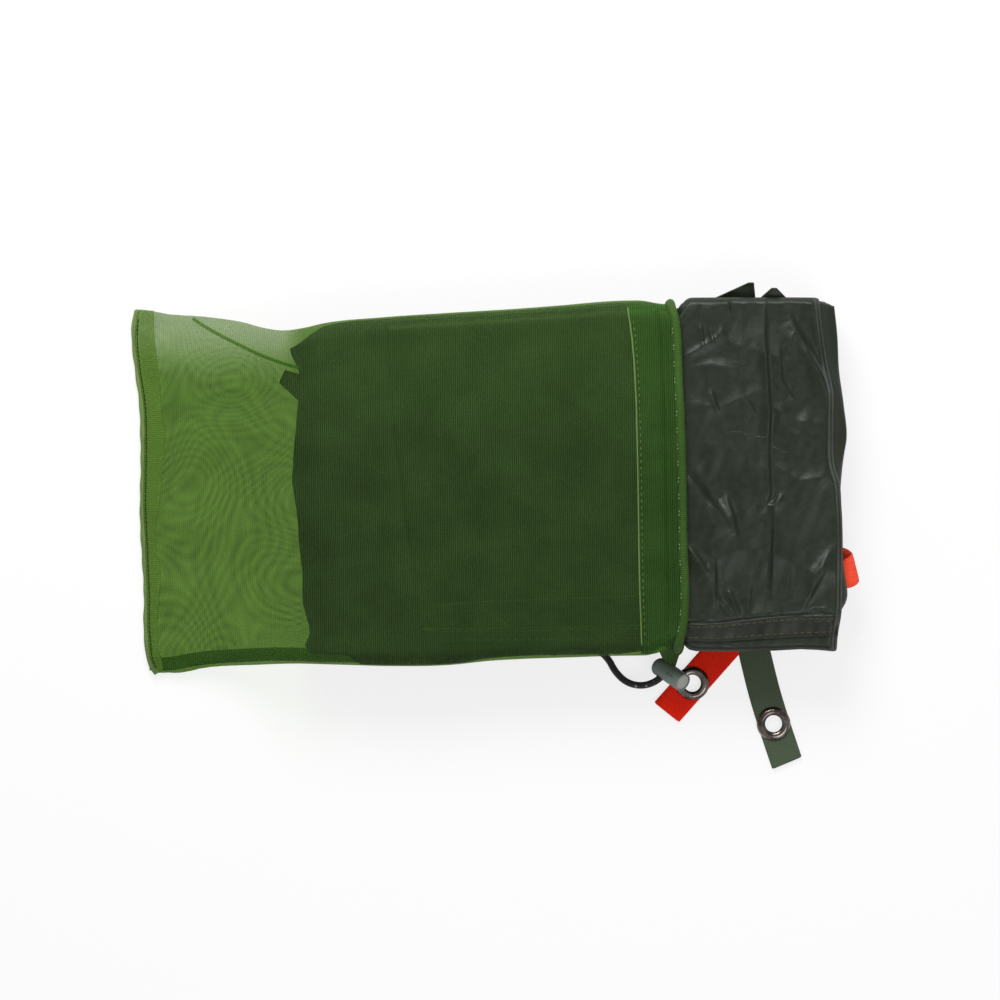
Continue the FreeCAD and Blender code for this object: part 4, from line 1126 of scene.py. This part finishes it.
def ply_edges(share, seed):
    """How far one ply's ends and sides stand back from the bundle's outline."""
    rng = np.random.default_rng(seed)
    wave = ripples(seed, 40)
    left_in, right_in, side_in = rng.uniform(0.0, 4.5), rng.uniform(0.0, 3.2), rng.uniform(0.0, 1.0)
    if 0.3 < share < 0.6:
        right_in, side_in = 0.2, 0.0
    return lambda a: left_in + 0.9 * wave(a, 0.0), lambda a: right_in + 1.0 * wave(a, 50.0), side_in


def ply_profile(distance, half):
    """A round edge: nothing at the rim, all of the thickness from half a thickness inwards."""
    e = np.clip(distance / half, 0, 1)
    return np.sqrt(np.clip(1 - (1 - e) ** 2, 0, 1))


def slab(name, k, count, **rest):
    """One thick fold of the stack: a closed form with rounded edges, lying between its neighbours."""
    lift0, lift1 = k / count, (k + 1) / count
    edge_mm = np.array([0, 0.12, 0.45, 1.0, 1.8, 3.0])
    span_x, span_y = 270.0, 172.0
    p, q = (np.concatenate([edge_mm / span, np.linspace(3.0, span - 3.0, count_across)[1:-1] / span,
                            1 - edge_mm[::-1] / span])
            for span, count_across in ((span_x, 132), (span_y, 84)))
    pp, qq = np.meshgrid(p, q, indexing="ij")
    left_in, right_in, side_in = ply_edges(lift0, 60 + k)
    middle = (lift0 + lift1) / 2
    wave_in = ripples(90 + k, 34)
    x = mix(-98.0, 172.0, pp)
    for _ in range(3):
        floor, r = FLOOR_Z(x), ROUND_R(x)
        bottom, height = mix(floor, STACK_TOP, lift0), mix(floor, STACK_TOP, middle)
        z_in = np.clip(floor - 1.6 + r - bottom, 0, r * 0.985)
        out = step(x, 93.0, 99.0)
        corner = mix(6.5, 3.0, out)
        top_in = np.clip(height - (37.5 - corner), 0, corner * 0.95)
        inset = r - np.sqrt(r**2 - z_in**2) + corner - np.sqrt(corner**2 - top_in**2)
        inset = inset + side_in * out + 0.3 * np.maximum(wave_in(x, 0 * x), 0) * out
        y = mix(low_y(x) + inset, high_y(x) - inset, qq)
        x0 = LEFT_X(y) + np.maximum(left_in(y), -0.5)
        x1 = RIGHT_X(y) - (0.2 if k == count - 1 else 1.3 + np.maximum(right_in(y), 0))
        x = mix(x0, x1, pp)
    low_z, high_z = FLOOR_Z(x), stack_top(x, y)
    wave = 0.35 * ripples(70, 44)(x, y)
    mid = mix(low_z, high_z, middle) + wave * math.sin(math.pi * middle)
    half = (high_z - low_z) / count / 2 * 0.96
    ex = np.minimum(pp, 1 - pp) * span_x
    ey = np.minimum(qq, 1 - qq) * span_y
    swell = ply_profile(ex, half * 0.9) * ply_profile(ey, half * 0.9)
    top = np.stack([x, y, mid + half * swell], -1).reshape(-1, 3)
    low = np.stack([x, y, mid - half * swell], -1).reshape(-1, 3)
    rows, cols = x.shape
    n = rows * cols
    upper = [f[::-1] for f in quads(rows, cols)]
    lower = quads(rows, cols, first=n)
    uv = np.stack([x, y], -1).reshape(-1, 2)
    piece = mesh_object(name, np.concatenate([top, low]), upper + lower, np.concatenate([uv, uv]), **rest)
    fix_normals(piece)
    return piece


PLIES = 9
plies = [slab(f"tarp_ply_{k + 1}", k, PLIES, body="tarp", slot="tarp_cloth", material=TARP_STACK)
         for k in range(PLIES)]
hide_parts("tarp_folded_stack")

# The last fold, with the wrinkles that show.
TOP_BASE, TOP_THICK = 34.2, 2.7
gx = np.concatenate([np.linspace(0, 0.012, 5, endpoint=False),
                     np.linspace(0.012, 0.62, 150, endpoint=False),
                     np.linspace(0.62, 0.992, 150, endpoint=False), np.linspace(0.992, 1, 6)])
gy = np.concatenate([np.linspace(0, 0.012, 5, endpoint=False),
                     np.linspace(0.012, 0.988, 230, endpoint=False),
                     np.linspace(0.988, 1, 5)])
gp, gq = np.meshgrid(gx, gy, indexing="ij")
xx = mix(-45.0, 170.0, gp)
for _ in range(3):
    out = step(xx, 93.0, 98.0)
    yy = mix(low_y(xx) + mix(2.4, 0.5, out), high_y(xx) - mix(2.4, 0.3, out), gq)
    xx = mix(PLY_X(yy), TOP_RIGHT_X(yy), gp)


def top_edge_drop(x, y):
    """How far the last fold turns down towards its sides."""
    out = step(x, 93.0, 98.0)
    near = np.minimum(y - low_y(x), high_y(x) - y)
    side = mix(3.6, 1.3, out) * (1 - step(near, 0.0, mix(8.0, 3.0, out))) ** 2
    return side + 2.6 * (1 - step(TOP_RIGHT_X(y) - x, 0.0, 3.0)) ** 2


def calm_edge(x, y):
    """Wrinkles die out towards the last fold's edges."""
    near = np.minimum(np.minimum(y - low_y(x), high_y(x) - y), TOP_RIGHT_X(y) - x)
    return step(near + 2.5, 0.0, 7.0)


zz = TOP_BASE + TOP_THICK / 2 + top_relief(xx, yy) * calm_edge(xx, yy) - top_edge_drop(xx, yy)
top_fold = laid_sheet("tarp_top_cloth", xx, yy, zz, np.full(zz.shape, TOP_THICK), body="tarp",
                      slot="tarp_cloth", material=TARP)
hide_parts("tarp_top_fold")


def on_top(x, y, above=0.0):
    """A point of the tarp's upper face."""
    x, y = np.asarray(x, float), np.asarray(y, float)
    return TOP_BASE + TOP_THICK + top_relief(x, y) * calm_edge(x, y) - top_edge_drop(x, y) + above


# The hem: a doubled strip along the tarp's edge, its upper edge standing a little proud.
hx = np.concatenate([np.linspace(-28, 96, 80, endpoint=False), np.linspace(96, 171.0, 130)])
hq = np.array([0, 0.04, 0.12, 0.22, 0.34, 0.46, 0.58, 0.7, 0.8, 0.9, 0.96, 1.0])
hxx, hqq = np.meshgrid(hx, hq, indexing="ij")
hyy = mix(HEM_LOW(hxx), HEM_TOP(hxx), hqq)
pucker = 0.10 * np.sin(hxx * 2 * math.pi / 7.0) + 0.16 * HEM_LIFT(hxx, hyy)
quilt = -0.22 * (np.exp(-((hqq - 0.80) / 0.07) ** 2) + np.exp(-((hqq - 0.18) / 0.07) ** 2))
hzz = on_top(hxx, hyy) + 0.45 + pucker * 0.6 + quilt
hem = laid_sheet("tarp_hem_cloth", hxx, hyy, hzz, np.full(hzz.shape, 1.0), body="tarp", slot="tarp_hem",
                 material=HEM)
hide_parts("tarp_edge_hem")


def hem_row(share):
    """A line along the hem, at a share of its width."""
    xs = np.linspace(-26, 170.4, 260)
    ys = mix(HEM_LOW(xs), HEM_TOP(xs), share)
    return np.stack([xs, ys, on_top(xs, ys) + 0.92], -1)


stitches("tarp_hem_stitches_upper", hem_row(0.80), 3.5, 2.5, THREAD_THICK, "tarp", "tarp_hem", THREAD_TARP)
stitches("tarp_hem_stitches_lower", hem_row(0.18), 3.5, 2.5, THREAD_THICK, "tarp", "tarp_hem", THREAD_TARP)

# A felled seam across the tarp, seen through the net.
fxs = np.linspace(-29, 92, 70)
fys = np.interp(fxs, [-30, -7, 73, 92], [-43.0, -41.0, -38.0, -38.0])
strip_on("tarp_felled_seam", np.stack([fxs, fys, on_top(fxs, fys) + 0.2], -1), [(0, 0, 1)] * len(fxs),
         6.0, 0.5, body="tarp", slot="tarp_hem", material=HEM)

def corner_flap(name, outline, z, curl, seed):
    """A corner of cloth that stands out of the stack."""
    (ax, ay), (bx, by), (cx, cy) = outline
    n = 26
    wave = ripples(seed, 9)
    grid = []
    for i in range(n + 1):
        for j in range(n + 1):
            u, v = i / n, j / n
            x = mix(mix(ax, cx, u), bx + (u - 0.5) * 2.2, v)
            y = mix(mix(ay, cy, u), by, v)
            grid.append((x, y, z + curl * v**1.6 + 0.5 * float(wave(x, y)) * v))
    g = np.array(grid).reshape(n + 1, n + 1, 3)
    return laid_sheet(name, g[..., 0], g[..., 1], g[..., 2], np.full(g.shape[:2], 0.9), body="tarp",
                      slot="tarp_cloth", material=TARP)


corner_flap("tarp_corner_fold_1", [(103.0, 109.5), (128.2, 120.4), (130.6, 108.5)], 26.0, 4.5, 81)
corner_flap("tarp_corner_fold_2", [(128.0, 108.5), (139.6, 117.6), (150.0, 108.5)], 30.2, 3.0, 82)


# ------------------------------------------------------------------ webbing

WEB_WIDTH, WEB_THICK = 15.3, 1.3
WEB_Z = 1.55                            # the tabs' middle, lying on the ground
EYE_HOLE_R = 5.5


def tape(name, line, slot, material, hole, cut):
    """A strip of webbing along a line of points, with selvedges, a raw end and a hole for its eyelet."""
    width, thick = WEB_WIDTH, WEB_THICK
    line = np.array(line, float)
    way = np.gradient(line, axis=0)
    side = np.cross(way, (0, 0, 1.0))
    side /= np.linalg.norm(side, axis=1)[:, None]
    half_ticks = np.array([0.09, 0.18, 0.27, 0.36, 0.44, 0.485, 0.5])
    ticks = np.concatenate([-half_ticks[::-1], [0], half_ticks])
    rows, cols = len(line), len(ticks)
    share = np.linspace(0, 1, rows)
    x = line[:, 0, None] + side[:, 0, None] * ticks * width
    y = line[:, 1, None] + side[:, 1, None] * ticks * width
    slant = (share[:, None] > 0.9) * (share[:, None] - 0.9) / 0.1 * ticks * cut
    along = way / np.linalg.norm(way, axis=1)[:, None]
    x, y = x + slant * along[:, 0, None], y + slant * along[:, 1, None]
    z = line[:, 2, None] + 0 * ticks
    height = np.where(np.abs(ticks) > 0.47, thick * 0.62, thick) + 0 * z
    piece = laid_sheet(name, x, y, z, height, material=material, slot=slot)
    bm = bmesh.new()
    bm.from_mesh(piece.data)
    middles = [f.calc_center_median() / MM for f in bm.faces]
    gone = [f for f, m in zip(bm.faces, middles) if math.hypot(m.x - hole[0], m.y - hole[1]) < EYE_HOLE_R]
    bmesh.ops.delete(bm, geom=gone, context="FACES")
    rims = [e for e in bm.edges if len(e.link_faces) == 1]
    bmesh.ops.bridge_loops(bm, edges=rims)
    bm.to_mesh(piece.data)
    bm.free()
    return piece


RED_TURN = math.radians(228.5)
red_way = np.array((math.cos(RED_TURN), math.sin(RED_TURN)))
red_eye = np.array((99.6, -79.8))
red_line = [(*(red_eye - red_way * d), WEB_Z + 0.12 * math.sin(d / 7.0))
            for d in np.linspace(31.5, -19.0, 130)]
red_tape = tape("red_tab_tape", red_line, "red_webbing", RED_WEB, hole=red_eye, cut=0.8)
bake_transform(red_tape)
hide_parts("red_tab_webbing")

olive_base = spline_points([(x, y, WEB_Z) for x, y in ((126.9, -48.0), (128.8, -55.7), (134.9, -81.0),
                                                       (139.9, -98.0), (147.0, -119.4))], 34)
olive_tape = tape("olive_tab_tape", olive_base, "olive_webbing", OLIVE_WEB, hole=(140.4, -100.1), cut=1.2)
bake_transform(olive_tape)
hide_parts("olive_tab_webbing")

share = np.linspace(0, 1, 22)
tu, tv = np.meshgrid(share, share, indexing="ij")
tab_x = mix(mix(-106.9, -104.3, tv), mix(-74.0, -70.0, tv), tu)
tab_y = mix(mix(71.1, 76.8, tv), mix(40.5, 66.0, tv), tu)
inner = laid_sheet("inner_tab_tape", tab_x, tab_y, 19.0 + 1.6 * tv + 0.2 * np.sin(tab_x / 3.0),
                   np.full(tu.shape, 1.2), body="tarp", slot="dark_webbing", material=DARK_WEB)
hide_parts("inner_tab_webbing")

# The red loop: one strip out of the stack and back, its two halves crossing at a slant.
loop_path = spline_points([(165.0, -18.0, 20.2), (170.0, -17.9, 19.2), (175.0, -18.3, 18.9),
                           (178.8, -19.6, 19.8), (180.4, -21.4, 22.2), (179.0, -23.2, 25.0),
                           (175.5, -24.6, 26.2), (170.0, -25.2, 25.4), (165.0, -25.2, 24.4)], 14)
loop_strip = strip_on("red_loop_tape", loop_path, None, 14.6, 1.2, side=(-0.25, 1.0, 0.05),
                      slot="loop_webbing", material=RED_WEB_LIT)
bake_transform(loop_strip)
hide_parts("red_loop_webbing")


# ------------------------------------------------------------------ cord, knot, lock and eyelets

def nurbs(name, route, diameter, **rest):
    """A cord along a route of control points."""
    data = bpy.data.curves.new(name, "CURVE")
    data.dimensions = "3D"
    data.bevel_depth = diameter / 2 * MM
    data.bevel_resolution = 5
    data.resolution_u = 16
    data.use_fill_caps = True
    spline = data.splines.new("NURBS")
    spline.points.add(len(route) - 1)
    for point, place in zip(spline.points, route):
        point.co = (place[0] * MM, place[1] * MM, place[2] * MM, 1)
    spline.order_u = 3
    spline.use_endpoint_u = True
    piece = bpy.data.objects.new(name, data)
    bpy.context.scene.collection.objects.link(piece)
    data.materials.append(rest["material"])
    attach(piece, rest["body"])
    return piece


TAIL = [(57.2, -66.9, 1.75), (50.6, -61.9, 1.75), (42.6, -61.3, 1.75), (34.2, -62.0, 1.75)]
route = [first_run(0.8)] + corners[1:] + TAIL
cord = nurbs("drawcord_free_end", route, 3.5, body="sack", slot="black_cord", material=CORD)
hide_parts("drawcord_tail")

inside_edge = mouth_line(300)[6:297]
into_sleeve = spline_points([inside_edge[-1], (91.6, -56.0, 12.0), (93.6, -57.6, 8.6),
                             tuple(first_run(1.35))], 8)
ring_points = np.array(inside_edge + into_sleeve.tolist()[1:])
hidden_cord = swept("drawcord_hidden_run", ring_points, 1.7, around=10, body="sack", slot="black_cord",
                    material=CORD)
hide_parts("drawcord_in_channel")

knot_route = [(34.4, -62.0, 1.75), (32.6, -62.1, 2.0), (30.6, -60.6, 2.4), (28.4, -60.4, 3.6),
              (27.6, -62.6, 4.6), (29.0, -64.4, 4.4), (31.4, -64.2, 3.2), (32.0, -62.4, 2.2),
              (30.6, -61.0, 2.6), (29.0, -62.0, 3.4), (27.2, -63.4, 2.6), (25.2, -63.0, 1.8),
              (23.6, -62.8, 1.7)]
knot = nurbs("drawcord_overhand_knot", knot_route, 3.3, body="sack", slot="black_cord", material=CORD)
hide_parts("drawcord_knot")

lock_up = np.array((0.6429, -0.4368, 0.6292))
lock_across = np.cross(lock_up, (0, 0, 1.0))
lock_across /= np.linalg.norm(lock_across)
lock_side = np.cross(lock_up, lock_across)
spring_foot = loop_at(328, 14.84) + lock_up * (1.45 - 7.0)
COIL_RISE, COIL_R = 2.5, 3.0
turns = np.linspace(0, 5 * math.pi, 150)
coil = [spring_foot + lock_up * COIL_RISE * t / turns[-1]
        + (lock_across * math.cos(t) + lock_side * math.sin(t)) * COIL_R
        for t in turns]
spring = swept("cord_lock_coil_spring", coil, 0.2, around=8, body="cord_lock", slot="spring_steel",
               material=STEEL)
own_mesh(spring)
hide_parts("cord_lock_spring")

for node, paint in (("cord_lock_barrel", LOCK), ("cord_lock_button", BUTTON),
                    ("red_tab_eyelet", GUNMETAL), ("red_tab_washer", GUNMETAL),
                    ("olive_tab_eyelet", GUNMETAL), ("olive_tab_washer", GUNMETAL)):
    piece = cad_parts[node]
    piece.data.materials.clear()
    piece.data.materials.append(paint)
